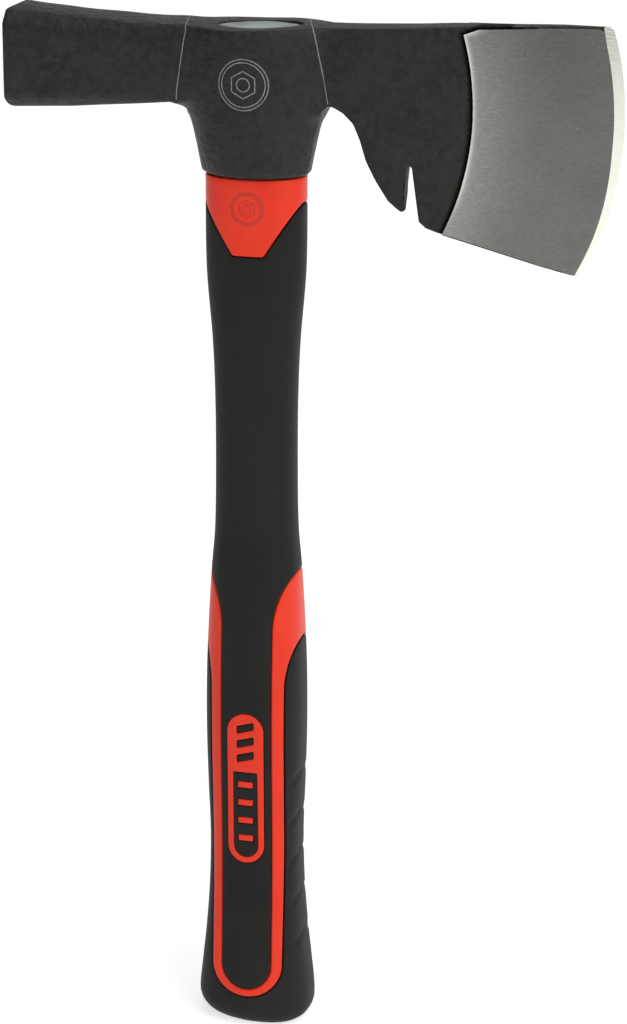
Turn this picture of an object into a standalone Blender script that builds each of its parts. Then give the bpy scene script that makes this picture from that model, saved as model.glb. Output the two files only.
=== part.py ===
"""A one-hand hatchet: forged steel head, fibreglass core and a two-colour moulded grip.

Metres, +Z up. The origin lies on the handle's axis, in the flat face of the butt. The blade
points along +X, and the flat striking face of the poll along -X. Each piece is an object of its
own in the collection Hatchet, and the shapes that trim them are in the collection Cutters.
"""

import math

import bmesh
import bpy

# Clearance between touching pieces, depth of the black skin's bed, and reach of the cutters
GAP = 0.0003
SKIN_DEPTH = 0.0015
CUT_REACH = 0.030
CUT_THROUGH = 0.003
WELD_DISTANCE = 0.00001

# Handle: height, half width (X) and half depth (Y) at each station, joined by a smooth curve
HANDLE_STATIONS = (
    (0.000, 0.0180, 0.0148),
    (0.008, 0.0181, 0.0149),
    (0.018, 0.0171, 0.0147),
    (0.030, 0.0158, 0.0143),
    (0.045, 0.0147, 0.0139),
    (0.062, 0.0143, 0.0138),
    (0.080, 0.0149, 0.0141),
    (0.098, 0.0153, 0.0145),
    (0.116, 0.0152, 0.0143),
    (0.135, 0.0146, 0.0134),
    (0.150, 0.0138, 0.0123),
    (0.163, 0.0128, 0.0113),
    (0.180, 0.0125, 0.0106),
    (0.204, 0.0126, 0.0104),
    (0.222, 0.0133, 0.0105),
    (0.245, 0.0151, 0.0108),
    (0.273, 0.0153, 0.0109),
)
HANDLE_TOP = 0.2732
HANDLE_SIDES = 28
HANDLE_STEP = 0.012
BUTT_ROUNDING = 0.0050
BUTT_ROUNDING_STEPS = 4
GRIP_SQUARENESS = 2.6
NECK_SQUARENESS = 2.3
GRIP_END = 0.120
NECK_START = 0.160

# Red collar under the head, with a tapered tongue on the front and the back
COLLAR_LOW = 0.2660
TONGUE_LOW = 0.2503
TONGUE_HALF_WIDTH = 0.0048
COLLAR_HALF_WIDTH = 0.0152

# Red loop on the front and the back of the grip. The outer turn has its half width and its height
LOOP_INNER = 0.0083
LOOP_INNER_FLARE_Z = 0.133
LOOP_INNER_FLARE_RADIUS = 0.029
LOOP_OUTER = 0.01175
LOOP_OUTER_FLARE_Z = 0.1135
LOOP_OUTER_FLARE_RADIUS = 0.039
LOOP_TURN_Z = 0.0211
LOOP_OUTER_TURN = (0.0115, 0.0107)
FLARE_REACH = 0.021

# Badge: a red ring with a barred black panel below and slanted black bars above
BADGE_HALF_WIDTH = 0.0059
BADGE_LOW = 0.0562
BADGE_HIGH = 0.1062
BADGE_RING = 0.0019
PANEL_TOP = 0.0868
PANEL_BAR_COUNT = 4
PANEL_BAR_HALF_WIDTH = 0.0024
PANEL_BAR_HALF_HEIGHT = 0.0010
PANEL_BAR_FIRST_Z = 0.0648
PANEL_BAR_PITCH = 0.0060
SLANT_BAR_COUNT = 3
SLANT_BAR_HALF_WIDTH = 0.0026
SLANT_BAR_HALF_HEIGHT = 0.0011
SLANT_BAR_RISE = 0.0016
SLANT_BAR_FIRST_Z = 0.0920
SLANT_BAR_PITCH = 0.0048

# Fibreglass core
CORE_HALF_WIDTH = 0.0095
CORE_HALF_DEPTH = 0.0054
CORE_LOW = 0.014
CORE_HIGH = 0.314
CORE_SIDES = 24

# Eye of the head: a tapered oval hole, wider at the top
EYE_LOW = 0.2735
EYE_HIGH = 0.3173
EYE_HALF_WIDTH_LOW = 0.0125
EYE_HALF_WIDTH_HIGH = 0.0132
EYE_FLATNESS = 0.57
EYE_SIDES = 28
DAM_LOW = 0.2738
DAM_HIGH = 0.2772
RESIN_HIGH = 0.3168

# Socket round the eye: height, half width and half depth
SOCKET_STATIONS = (
    (0.2735, 0.0155, 0.0118),
    (0.2742, 0.0163, 0.0129),
    (0.2755, 0.0166, 0.0135),
    (0.2825, 0.0179, 0.0142),
    (0.2885, 0.0194, 0.0145),
    (0.2930, 0.0210, 0.0147),
    (0.3060, 0.0220, 0.0148),
    (0.3165, 0.0218, 0.0146),
    (0.3173, 0.0211, 0.0139),
)
SOCKET_SIDES = 32

# Poll: a tapered bar with chamfered long edges and a flat striking face
POLL_FACE_X = -0.0742
POLL_ROOT_X = -0.010
POLL_FACE_LOW = 0.2912
POLL_FACE_HIGH = 0.3203
POLL_FACE_HALF_DEPTH = 0.0138
POLL_ROOT_LOW = 0.2961
POLL_ROOT_HIGH = 0.3169
POLL_ROOT_HALF_DEPTH = 0.0110
POLL_CHAMFER = 0.0034
POLL_CORNER = 0.0020

# Blade: its cutting edge is an arc, and its thickness grows with the distance behind the edge
EDGE_CENTRE_X = 0.0142
EDGE_CENTRE_Z = 0.2933
EDGE_RADIUS = 0.0957
EDGE_LOW_Z = 0.242
EDGE_HIGH_Z = 0.327
EDGE_LEVELS = 12
CHEEK_BY_DISTANCE = ((0.0, 0.00015), (0.003, 0.0009), (0.0435, 0.0051))
CHEEK_BY_X = ((0.036, 0.0060), (0.030, 0.0064), (0.025, 0.0076), (0.020, 0.0096), (0.015, 0.0112))
CHEEK_REAR_X = 0.002
BLADE_TOP = ((0.004, 0.3168), (0.018, 0.3170), (0.030, 0.3182), (0.060, 0.3199), (0.115, 0.3216))
BLADE_UNDERSIDE = ((0.115, 0.2434), (0.0983, 0.2476), (0.0758, 0.2536), (0.0580, 0.2588), (0.0513, 0.2609))
NAIL_SLOT = ((0.0505, 0.2632), (0.0484, 0.2774), (0.0478, 0.2781), (0.0466, 0.2781), (0.0462, 0.2770))
CLAW = ((0.0462, 0.2650), (0.0452, 0.2652), (0.0415, 0.2679), (0.0384, 0.2725))
CLAW_BACK = ((0.0352, 0.2784), (0.0325, 0.2870))
BLADE_THROAT = ((0.0309, 0.2904), (0.0288, 0.2926), (0.0262, 0.2944), (0.0230, 0.2952), (0.004, 0.2955))

ARC_STEPS = 8
SMOOTH_ANGLE = math.radians(35)

# Name: base colour, metallic, roughness
MATERIALS = {
    "black_forged_steel": ((0.030, 0.031, 0.029, 1.0), 0.3, 0.55),
    "black_grip_rubber": ((0.022, 0.022, 0.022, 1.0), 0.0, 0.60),
    "red_polypropylene": ((0.75, 0.045, 0.020, 1.0), 0.0, 0.40),
    "yellow_fibreglass": ((0.60, 0.55, 0.30, 1.0), 0.0, 0.45),
    "grey_epoxy": ((0.30, 0.35, 0.31, 1.0), 0.0, 0.35),
    "dark_foam": ((0.05, 0.05, 0.05, 1.0), 0.0, 0.90),
}


def clear_scene():
    """Removes every object, so that the script can be run again in the same file."""
    for obj in list(bpy.data.objects):
        bpy.data.objects.remove(obj, do_unlink=True)


def new_collection(name):
    collection = bpy.data.collections.new(name)
    bpy.context.scene.collection.children.link(collection)
    return collection


def material(name):
    """The named material, made the first time that it's asked for."""
    found = bpy.data.materials.get(name)
    if found is not None:
        return found
    colour, metallic, roughness = MATERIALS[name]
    made = bpy.data.materials.new(name)
    made.use_nodes = True
    surface = made.node_tree.nodes["Principled BSDF"]
    surface.inputs["Base Color"].default_value = colour
    surface.inputs["Metallic"].default_value = metallic
    surface.inputs["Roughness"].default_value = roughness
    return made


def add_object(name, bm):
    """An object in the Hatchet collection, from the mesh that is being edited."""
    bmesh.ops.recalc_face_normals(bm, faces=bm.faces)
    mesh = bpy.data.meshes.new(name)
    bm.to_mesh(mesh)
    bm.free()
    obj = bpy.data.objects.new(name, mesh)
    PARTS.objects.link(obj)
    return obj


def as_cutter(obj):
    """Moves a shape that only trims others out of the model."""
    PARTS.objects.unlink(obj)
    CUTTERS.objects.link(obj)
    obj.hide_render = True
    obj.display_type = "WIRE"
    return obj


def finish_part(obj, material_name):
    obj.data.materials.clear()
    obj.data.materials.append(material(material_name))
    obj.data.shade_smooth()
    obj.data.set_sharp_from_angle(angle=SMOOTH_ANGLE)
    return obj


def boolean(obj, operation, other):
    modifier = obj.modifiers.new(f"{operation.title()} {other.name}", "BOOLEAN")
    modifier.operation = operation
    modifier.solver = "EXACT"
    modifier.object = other
    return obj


def loft(name, rings):
    """A closed skin over rings of equally many points, with a flat face at each end."""
    bm = bmesh.new()
    rows = [[bm.verts.new(point) for point in ring] for ring in rings]
    for low, high in zip(rows, rows[1:]):
        for i in range(len(low)):
            j = (i + 1) % len(low)
            bm.faces.new((low[i], low[j], high[j], high[i]))
    bm.faces.new(list(reversed(rows[0])))
    bm.faces.new(rows[-1])
    return add_object(name, bm)


def oval_ring(z, half_width, half_depth, sides, squareness=2.0):
    """Points round an oval at a height. A squareness over 2 fills out its corners."""
    power = 2.0 / squareness
    ring = []
    for step in range(sides):
        angle = 2.0 * math.pi * step / sides
        across, along = math.cos(angle), math.sin(angle)
        x = math.copysign(abs(across) ** power, across) * half_width
        y = math.copysign(abs(along) ** power, along) * half_depth
        ring.append((x, y, z))
    return ring


def oval_rod(name, z_low, z_high, half_width_low, half_width_high, flatness, sides):
    """A straight or tapered rod of oval section, from a cone primitive."""
    bm = bmesh.new()
    bmesh.ops.create_cone(
        bm,
        cap_ends=True,
        segments=sides,
        radius1=half_width_low,
        radius2=half_width_high,
        depth=z_high - z_low,
    )
    bmesh.ops.scale(bm, vec=(1.0, flatness, 1.0), verts=bm.verts)
    bmesh.ops.translate(bm, vec=(0.0, 0.0, (z_low + z_high) / 2), verts=bm.verts)
    return add_object(name, bm)


def plate(name, outlines, y_low=-CUT_REACH, y_high=CUT_REACH):
    """Flat outlines in X and Z, filled and extruded along Y. An outline inside another is a hole."""
    curve = bpy.data.curves.new(name, "CURVE")
    curve.dimensions = "2D"
    curve.fill_mode = "BOTH"
    curve.extrude = (y_high - y_low) / 2
    for outline in outlines:
        spline = curve.splines.new("POLY")
        spline.points.add(len(outline) - 1)
        for point, (x, z) in zip(spline.points, outline):
            point.co = (x, z, 0.0, 1.0)
        spline.use_cyclic_u = True
    holder = bpy.data.objects.new(name + "_outline", curve)
    holder.rotation_euler.x = math.pi / 2
    holder.location.y = (y_low + y_high) / 2
    PARTS.objects.link(holder)
    return curve_to_mesh(holder, name)


def curve_to_mesh(holder, name):
    """A closed mesh object in a curve object's place."""
    bpy.context.view_layer.update()
    graph = bpy.context.evaluated_depsgraph_get()
    mesh = bpy.data.meshes.new_from_object(holder.evaluated_get(graph), depsgraph=graph)
    mesh.name = name
    bm = bmesh.new()
    bm.from_mesh(mesh)
    bmesh.ops.remove_doubles(bm, verts=bm.verts, dist=WELD_DISTANCE)
    bmesh.ops.recalc_face_normals(bm, faces=bm.faces)
    bm.to_mesh(mesh)
    bm.free()
    obj = bpy.data.objects.new(name, mesh)
    obj.matrix_world = holder.matrix_world
    PARTS.objects.link(obj)
    bpy.data.objects.remove(holder, do_unlink=True)
    return obj


def arc(centre_x, centre_z, radius, start_degrees, end_degrees, steps=ARC_STEPS):
    points = []
    for step in range(steps + 1):
        angle = math.radians(start_degrees + (end_degrees - start_degrees) * step / steps)
        points.append((centre_x + radius * math.cos(angle), centre_z + radius * math.sin(angle)))
    return points


def mirrored(points):
    """The same outline points on the other side of the handle's axis, in the opposite order."""
    return [(-x, z) for x, z in reversed(points)]


def station_value(z, column):
    """A handle size at a height, from a smooth curve through the stations."""
    heights = [station[0] for station in HANDLE_STATIONS]
    values = [station[column] for station in HANDLE_STATIONS]
    last = len(heights) - 1
    k = max(i for i in range(last) if i == 0 or heights[i] <= z)

    def slope(i):
        before, after = max(i - 1, 0), min(i + 1, last)
        return (values[after] - values[before]) / (heights[after] - heights[before])

    span = heights[k + 1] - heights[k]
    t = (z - heights[k]) / span
    start, end = values[k], values[k + 1]
    rise = (2 * t**3 - 3 * t**2 + 1) * start + (3 * t**2 - 2 * t**3) * end
    lean = (t**3 - 2 * t**2 + t) * slope(k) + (t**3 - t**2) * slope(k + 1)
    return rise + span * lean


def squareness_at(z):
    share = min(max((z - GRIP_END) / (NECK_START - GRIP_END), 0.0), 1.0)
    return GRIP_SQUARENESS + share * (NECK_SQUARENESS - GRIP_SQUARENESS)


def handle_ring(z, inset):
    half_width = station_value(z, 1) - inset
    half_depth = station_value(z, 2) - inset
    return oval_ring(z, half_width, half_depth, HANDLE_SIDES, squareness_at(z))


def handle_body(name, inset, top):
    """The handle's whole shape, drawn in by inset on every side and at the butt."""
    rounding = BUTT_ROUNDING - inset
    rings = []
    for step in range(BUTT_ROUNDING_STEPS):
        angle = math.pi / 2 * step / BUTT_ROUNDING_STEPS
        rise = rounding * (1 - math.cos(angle))
        draw_in = rounding * (1 - math.sin(angle))
        rings.append(handle_ring(inset + rise, inset + draw_in))
    levels = round((top - BUTT_ROUNDING) / HANDLE_STEP)
    for step in range(levels + 1):
        z = BUTT_ROUNDING + (top - BUTT_ROUNDING) * step / levels
        rings.append(handle_ring(z, inset))
    return loft(name, rings)


def collar_outline(clearance):
    """The collar's band and tongue. A clearance moves its lower edge down."""
    shoulder = (COLLAR_HALF_WIDTH + clearance, COLLAR_LOW - clearance)
    tongue = (TONGUE_HALF_WIDTH + clearance, TONGUE_LOW - clearance)
    right = [(CUT_REACH, HANDLE_TOP + GAP), (CUT_REACH, COLLAR_LOW - clearance), shoulder, tongue]
    return right + mirrored(right)


def loop_edge(half_width, flare_z, radius, turn):
    """One edge of the loop: out of the side, down its length and round its lower turn."""
    centre_x = half_width + radius
    flare_angle = math.degrees(math.acos((centre_x - FLARE_REACH) / radius))
    right = arc(centre_x, flare_z, radius, 180 - flare_angle, 180)
    unit_turn = arc(0.0, 0.0, 1.0, 0, -180, 2 * ARC_STEPS)
    lower = [(x * turn[0], LOOP_TURN_Z + z * turn[1]) for x, z in unit_turn]
    return right + lower + mirrored(right)


def loop_inner_edge(clearance):
    """The loop's inner edge, drawn in by a clearance."""
    half_width = LOOP_INNER - clearance
    return loop_edge(half_width, LOOP_INNER_FLARE_Z, LOOP_INNER_FLARE_RADIUS, (half_width, half_width))


def loop_outer_edge(clearance):
    """The loop's outer edge, moved out by a clearance."""
    turn = (LOOP_OUTER_TURN[0] + clearance, LOOP_OUTER_TURN[1] + clearance)
    return loop_edge(LOOP_OUTER + clearance, LOOP_OUTER_FLARE_Z, LOOP_OUTER_FLARE_RADIUS, turn)


def loop_outline():
    return loop_outer_edge(0.0) + list(reversed(loop_inner_edge(0.0)))


def stadium(half_width, low, high):
    """An upright slot with round ends."""
    top = arc(0.0, high - half_width, half_width, 0, 180)
    bottom = arc(0.0, low + half_width, half_width, 180, 360)
    return top + bottom


def panel_outline(clearance):
    """The black panel: round at the bottom, square at the top, inside the badge's ring."""
    half_width = BADGE_HALF_WIDTH - BADGE_RING - clearance
    bottom_z = BADGE_LOW + BADGE_RING + clearance + half_width
    top = PANEL_TOP - clearance
    return [(half_width, top), (-half_width, top)] + arc(0.0, bottom_z, half_width, 180, 360)


def panel_bars(clearance):
    """The red bars that show through the black panel."""
    bars = []
    for index in range(PANEL_BAR_COUNT):
        z = PANEL_BAR_FIRST_Z + index * PANEL_BAR_PITCH
        x = PANEL_BAR_HALF_WIDTH + clearance
        rise = PANEL_BAR_HALF_HEIGHT + clearance
        bars.append([(-x, z - rise), (x, z - rise), (x, z + rise), (-x, z + rise)])
    return bars


def slant_bars(clearance):
    """The slanted black bars in the upper field of the badge."""
    bars = []
    for index in range(SLANT_BAR_COUNT):
        z = SLANT_BAR_FIRST_Z + index * SLANT_BAR_PITCH
        x = SLANT_BAR_HALF_WIDTH + clearance
        rise = SLANT_BAR_HALF_HEIGHT + clearance
        lean = SLANT_BAR_RISE / 2
        lower_side = [(-x, z - lean - rise), (x, z + lean - rise)]
        upper_side = [(x, z + lean + rise), (-x, z - lean + rise)]
        bars.append(lower_side + upper_side)
    return bars


def badge_outlines():
    """The red parts of the badge: ring, upper field with cut-outs for its bars, and panel bars."""
    ring = stadium(BADGE_HALF_WIDTH, BADGE_LOW, BADGE_HIGH)
    return [ring, panel_outline(0.0), *panel_bars(0.0), *slant_bars(GAP)]


def make_red_jacket(envelope):
    """The hard jacket on the core: a set-in body, and the proud red collar, loops and badges."""
    jacket = handle_body("red_jacket", SKIN_DEPTH, COLLAR_LOW + GAP)
    proud_outlines = {
        "collar_plate": [collar_outline(0.0)],
        "loop_plate": [loop_outline()],
        "badge_plate": badge_outlines(),
    }
    for name, outlines in proud_outlines.items():
        rib = as_cutter(plate(name, outlines))
        boolean(rib, "INTERSECT", envelope)
        boolean(jacket, "UNION", rib)
    flatness = (CORE_HALF_DEPTH + GAP) / (CORE_HALF_WIDTH + GAP)
    width = CORE_HALF_WIDTH + GAP
    pocket = oval_rod("core_pocket", CORE_LOW - GAP, EYE_LOW, width, width, flatness, CORE_SIDES)
    boolean(jacket, "DIFFERENCE", as_cutter(pocket))
    return finish_part(jacket, "red_polypropylene")


def skin_piece(name, outlines, envelope, bed, y_low=-CUT_REACH, y_high=CUT_REACH):
    """A piece of the black skin: the envelope inside some outlines, down to the jacket."""
    piece = plate(name, outlines, y_low, y_high)
    boolean(piece, "INTERSECT", envelope)
    boolean(piece, "DIFFERENCE", bed)
    return finish_part(piece, "black_grip_rubber")


def make_neck_sleeve(envelope, bed):
    """The black sleeve of the neck, which runs down inside both loops."""
    inside_loop = loop_inner_edge(GAP)
    lower_edge = list(reversed(collar_outline(GAP)[1:-1]))  # the collar's outline without its top
    badge_hole = stadium(BADGE_HALF_WIDTH + GAP, BADGE_LOW - GAP, BADGE_HIGH + GAP)
    return skin_piece("neck_sleeve", [inside_loop + lower_edge, badge_hole], envelope, bed)


def make_lower_grip(envelope, bed):
    """The black grip on both sides of the loops, joined round and under the butt."""
    outside_loop = loop_outer_edge(GAP)
    left_side = [(-CUT_REACH, LOOP_OUTER_FLARE_Z), (-CUT_REACH, -GAP)]
    right_side = [(CUT_REACH, -GAP), (CUT_REACH, LOOP_OUTER_FLARE_Z)]
    return skin_piece("lower_grip", [outside_loop + left_side + right_side], envelope, bed)


def make_badge_inlays(envelope, bed):
    """The black panels and slanted bars that fill the badges on both faces."""
    for side, y_low, y_high in (("front", -CUT_REACH, 0.0), ("back", 0.0, CUT_REACH)):
        panel = [panel_outline(GAP), *panel_bars(GAP)]
        skin_piece(f"badge_panel_{side}", panel, envelope, bed, y_low, y_high)
        for number, bar in enumerate(slant_bars(0.0), start=1):
            skin_piece(f"badge_bar_{side}_{number}", [bar], envelope, bed, y_low, y_high)


def eye_half_width(z):
    share = (z - EYE_LOW) / (EYE_HIGH - EYE_LOW)
    return EYE_HALF_WIDTH_LOW + share * (EYE_HALF_WIDTH_HIGH - EYE_HALF_WIDTH_LOW)


def eye_rod(name, z_low, z_high, clearance):
    """The eye's tapered oval between two heights, drawn in by a clearance."""
    low = eye_half_width(z_low) - clearance
    high = eye_half_width(z_high) - clearance
    return oval_rod(name, z_low, z_high, low, high, EYE_FLATNESS, EYE_SIDES)


def make_core():
    """The fibreglass rod that runs from the butt into the eye."""
    flatness = CORE_HALF_DEPTH / CORE_HALF_WIDTH
    core = oval_rod(
        "fibreglass_core", CORE_LOW, CORE_HIGH, CORE_HALF_WIDTH, CORE_HALF_WIDTH, flatness, CORE_SIDES
    )
    return finish_part(core, "yellow_fibreglass")


def make_eye_filling():
    """The dam that closes the eye from below, and the resin that was poured round the core."""
    width = CORE_HALF_WIDTH + GAP
    flatness = (CORE_HALF_DEPTH + GAP) / width
    low = DAM_LOW - CUT_THROUGH
    high = CORE_HIGH + GAP
    bore = as_cutter(oval_rod("core_bore", low, high, width, width, flatness, CORE_SIDES))
    dam = eye_rod("resin_dam", DAM_LOW, DAM_HIGH, GAP)
    resin = eye_rod("eye_resin", DAM_HIGH + GAP, RESIN_HIGH, GAP)
    boolean(dam, "DIFFERENCE", bore)
    boolean(resin, "DIFFERENCE", bore)
    finish_part(dam, "dark_foam")
    finish_part(resin, "grey_epoxy")


def make_poll():
    """The hammer end: a tapered bar, octagonal in section, with eased corners at its face."""
    bm = bmesh.new()
    bmesh.ops.create_cube(bm, size=2.0)
    for vert in bm.verts:
        at_face = vert.co.x < 0
        low = POLL_FACE_LOW if at_face else POLL_ROOT_LOW
        high = POLL_FACE_HIGH if at_face else POLL_ROOT_HIGH
        depth = POLL_FACE_HALF_DEPTH if at_face else POLL_ROOT_HALF_DEPTH
        x = POLL_FACE_X if at_face else POLL_ROOT_X
        vert.co = (x, vert.co.y * depth, high if vert.co.z > 0 else low)
    length = POLL_ROOT_X - POLL_FACE_X
    long_edges = [edge for edge in bm.edges if edge.calc_length() > length]
    bmesh.ops.bevel(bm, geom=long_edges, offset=POLL_CHAMFER, segments=1, affect="EDGES")
    face_edge_x = POLL_FACE_X + WELD_DISTANCE
    face_edges = [edge for edge in bm.edges if all(v.co.x < face_edge_x for v in edge.verts)]
    bmesh.ops.bevel(bm, geom=face_edges, offset=POLL_CORNER, segments=2, profile=0.5, affect="EDGES")
    return as_cutter(add_object("poll", bm))


def blade_wedge():
    """The blade's thickness: equal sections set along the arc of the cutting edge."""
    rings = []
    for level in range(EDGE_LEVELS + 1):
        z = EDGE_LOW_Z + (EDGE_HIGH_Z - EDGE_LOW_Z) * level / EDGE_LEVELS
        edge_x = EDGE_CENTRE_X + math.sqrt(EDGE_RADIUS**2 - (z - EDGE_CENTRE_Z) ** 2)
        cheek = [(edge_x - distance, half) for distance, half in CHEEK_BY_DISTANCE]
        cheek += list(CHEEK_BY_X)
        cheek.append((CHEEK_REAR_X, CHEEK_BY_X[-1][1]))
        back_side = [(x, half, z) for x, half in cheek]
        front_side = [(x, -half, z) for x, half in reversed(cheek)]
        rings.append(back_side + front_side)
    return as_cutter(loft("blade_wedge", rings))


def make_blade():
    """The blade's side outline with its nail slot and claw, cut to the wedge's thickness."""
    outline = [*BLADE_TOP, *BLADE_UNDERSIDE, *NAIL_SLOT, *CLAW, *CLAW_BACK, *BLADE_THROAT]
    blade = as_cutter(plate("blade", [outline]))
    return boolean(blade, "INTERSECT", blade_wedge())


def make_head():
    """The forged head in one piece: socket, poll and blade, with the eye through the socket."""
    rings = [oval_ring(z, width, depth, SOCKET_SIDES) for z, width, depth in SOCKET_STATIONS]
    head = loft("head", rings)
    boolean(head, "UNION", make_poll())
    boolean(head, "UNION", make_blade())
    eye = eye_rod("eye", EYE_LOW - CUT_THROUGH, EYE_HIGH + CUT_THROUGH, 0.0)
    boolean(head, "DIFFERENCE", as_cutter(eye))
    return finish_part(head, "black_forged_steel")


def build():
    envelope = as_cutter(handle_body("envelope", 0.0, HANDLE_TOP))
    bed = as_cutter(handle_body("bed", SKIN_DEPTH - GAP, HANDLE_TOP + GAP))
    make_head()
    make_core()
    make_eye_filling()
    make_red_jacket(envelope)
    make_neck_sleeve(envelope, bed)
    make_lower_grip(envelope, bed)
    make_badge_inlays(envelope, bed)


clear_scene()
PARTS = new_collection("Hatchet")
CUTTERS = new_collection("Cutters")
build()
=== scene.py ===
"""The looks of a one-hand hatchet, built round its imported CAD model.

Sizes are in millimetres and become metres when a mesh is made. The blade points along +X, the
poll along -X, -Y is the front, and Z runs up the handle from the flat face of the butt. Places on
the head are given as x, and a height above CROWN, a level just over the top of the socket.
"""

import math
from collections import namedtuple

import bmesh
import bpy
import numpy as np
from mathutils import Matrix, Vector
from mathutils.geometry import delaunay_2d_cdt
from mathutils.noise import noise, turbulence


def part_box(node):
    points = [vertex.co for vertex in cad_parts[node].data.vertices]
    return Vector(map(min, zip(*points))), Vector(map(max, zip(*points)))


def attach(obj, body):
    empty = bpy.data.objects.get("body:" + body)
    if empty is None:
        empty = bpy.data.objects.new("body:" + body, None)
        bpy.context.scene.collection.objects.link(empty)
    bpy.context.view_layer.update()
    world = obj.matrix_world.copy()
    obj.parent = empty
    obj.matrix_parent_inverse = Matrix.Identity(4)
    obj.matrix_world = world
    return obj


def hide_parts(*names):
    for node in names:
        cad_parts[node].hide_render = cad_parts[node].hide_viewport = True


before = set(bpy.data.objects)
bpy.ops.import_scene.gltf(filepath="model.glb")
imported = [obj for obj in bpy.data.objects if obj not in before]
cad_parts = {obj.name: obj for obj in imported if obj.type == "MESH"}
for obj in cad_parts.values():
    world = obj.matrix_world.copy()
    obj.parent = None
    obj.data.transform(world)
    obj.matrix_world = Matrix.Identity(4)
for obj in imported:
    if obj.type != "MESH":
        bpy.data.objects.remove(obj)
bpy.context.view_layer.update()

MM = 0.001
BODY = "root"


def box_mm(node):
    """The lowest and the highest corner of a CAD node, in millimetres."""
    low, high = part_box(node)
    return low / MM, high / MM


HEAD_LOW, HEAD_HIGH = box_mm("head")
RESIN_LOW, RESIN_HIGH = box_mm("eye_resin")
CORE_LOW, CORE_HIGH = box_mm("fibreglass_core")
SLEEVE_LOW, SLEEVE_HIGH = box_mm("neck_sleeve")
PANEL_LOW, PANEL_HIGH = box_mm("badge_panel_front")
JACKET_HIGH = box_mm("red_jacket")[1]

GAP = 0.3
WELD = 0.01
SMOOTH_ANGLE = 50.0
HEAD_SMOOTH_ANGLE = 40.0

# Head: levels
CROWN = RESIN_HIGH.z + 1.2
CROWN_TOP = -0.55
SOCKET_LOW = JACKET_HIGH.z + GAP - CROWN

# Poll
POLL_FACE_X = HEAD_LOW.x
POLL_UNDERSIDE = ((POLL_FACE_X, -26.8), (-54.0, -25.9), (-33.0, -24.0), (-10.0, -21.9))
POLL_HALF_DEPTH = ((POLL_FACE_X, 13.8), (-10.0, 11.0))
POLL_CROWN_RISE = ((POLL_FACE_X, 0.7), (-54.0, 0.5), (-42.0, 0.25), (-32.0, 0.0))
POLL_RIDGE = 0.5
POLL_CHAMFER = 3.4
POLL_CHAMFER_FADE = (-52.0, -24.0)
POLL_TOP_CORNER = 1.0
POLL_LOW_CORNER = 2.6
POLL_FILLET = 3.6
POLL_FILLET_END = -20.6
POLL_BLEND = 2.5

# Upper line of the head, from the poll's face to the toe of the blade
TOP_LINE = (
    (POLL_FACE_X, 2.7),
    (-69.0, 2.1),
    (-61.0, 1.55),
    (-54.0, 1.0),
    (-42.0, 0.3),
    (-32.0, -0.4),
    (-24.0, -0.25),
    (-14.0, -0.45),
    (0.0, CROWN_TOP),
    (8.0, -0.1),
    (14.0, 0.15),
    (28.0, 0.25),
    (48.0, 1.1),
    (60.0, 1.9),
    (77.0, 2.5),
    (90.0, 3.1),
    (106.0, 3.25),
)

# Socket: height, half width, half depth
SOCKET_STATIONS = (
    (SOCKET_LOW, 15.5, 12.2),
    (SOCKET_LOW + 0.7, 16.2, 12.9),
    (-42.5, 16.5, 13.4),
    (-35.5, 17.95, 14.2),
    (-29.5, 19.4, 14.5),
    (-25.0, 21.0, 14.65),
    (-12.0, 22.0, 14.74),
    (4.0, 22.0, 14.74),
)

# Blade: cutting edge, thickness and lower outline
EDGE_RADIUS = 95.7
EDGE_CENTRE_X = HEAD_HIGH.x - EDGE_RADIUS
EDGE_CENTRE_H = -24.7
TOE_CORNER = 2.0
HEEL_CORNER = 3.9
BEVEL_WIDTH_BY_HEIGHT = ((-58.0, 2.05), (-50.0, 2.3), (-32.0, 3.05), (-2.0, 3.05), (3.3, 2.7))
BLADE_HALF_BY_SETBACK = ((0.0, 0.13), (3.0, 0.9), (43.5, 5.0), (48.0, 5.35), (70.0, 6.2), (90.0, 6.5))
UNDERSIDE = ((98.3, -70.45, HEEL_CORNER), (86.4, -67.5, 30.0), (75.8, -64.4, 30.0), (58.0, -59.25, 20.0))
SLOT_SIDE = ((52.7, -57.45, 1.5), (50.6, -55.6, 1.0), (48.4, -39.9, 0.6))
SLOT_TOP = ((48.0, -39.3, 0.5), (46.2, -39.3, 0.5))
CLAW = (
    (46.2, -52.7, 0.3),
    (45.3, -52.95, 0.3),
    (43.75, -51.9, 1.0),
    (41.4, -49.9, 3.0),
    (37.6, -44.0, 10.0),
    (34.6, -38.2, 10.0),
    (32.8, -32.3, 8.0),
    (30.8, -27.6, 4.0),
    (27.7, -24.5, 4.0),
    (24.6, -22.9, 2.5),
)
THROAT_CUSP = (23.0, -22.8)
BLADE_BLEND = 7.0
BLADE_ONLY_X = 30.0
CLAW_EDGE = ((45.3, -52.9), (37.0, -43.2))
CLAW_BEVEL_SLOPE = 0.75
CLAW_TIP_BACK = -3.2
CLAW_BEVEL_TOP = -38.0
CLAW_BEVEL_FADE = 6.0
CLAW_BESIDE_SOCKET = (29.0, 31.0)
CLAW_BESIDE_SLOT = (46.4, 47.4)
NO_LIMIT = 40.0

# Ground face of the blade: it ends in an arc, and stops short of the blade's upper and lower edges
GROUND_RADIUS = 81.7
GROUND_CENTRE_X = 66.25 - GROUND_RADIUS
GROUND_CENTRE_H = -22.5
GROUND_CORNER = (67.4, 1.5)
GROUND_UPPER_MARGIN = 0.6
GROUND_LOWER_MARGIN = 0.35
GROUND_LOWER_X = 57.5
# The paint dips beside the ground face, and the same reach sets the width of the band of painted shade
# there
PAINT_DIP = 0.30
PAINT_DIP_REACH = 1.3
PAINT_DIP_END_X = 90.0
# Width of the painted highlight along the lip of the ground face
LIP_HIGHLIGHT_WIDTH = 0.8
# Reach of the painted sheen on the ground face from its rear arc
GROUND_SHEEN_REACH = 26.0

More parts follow.
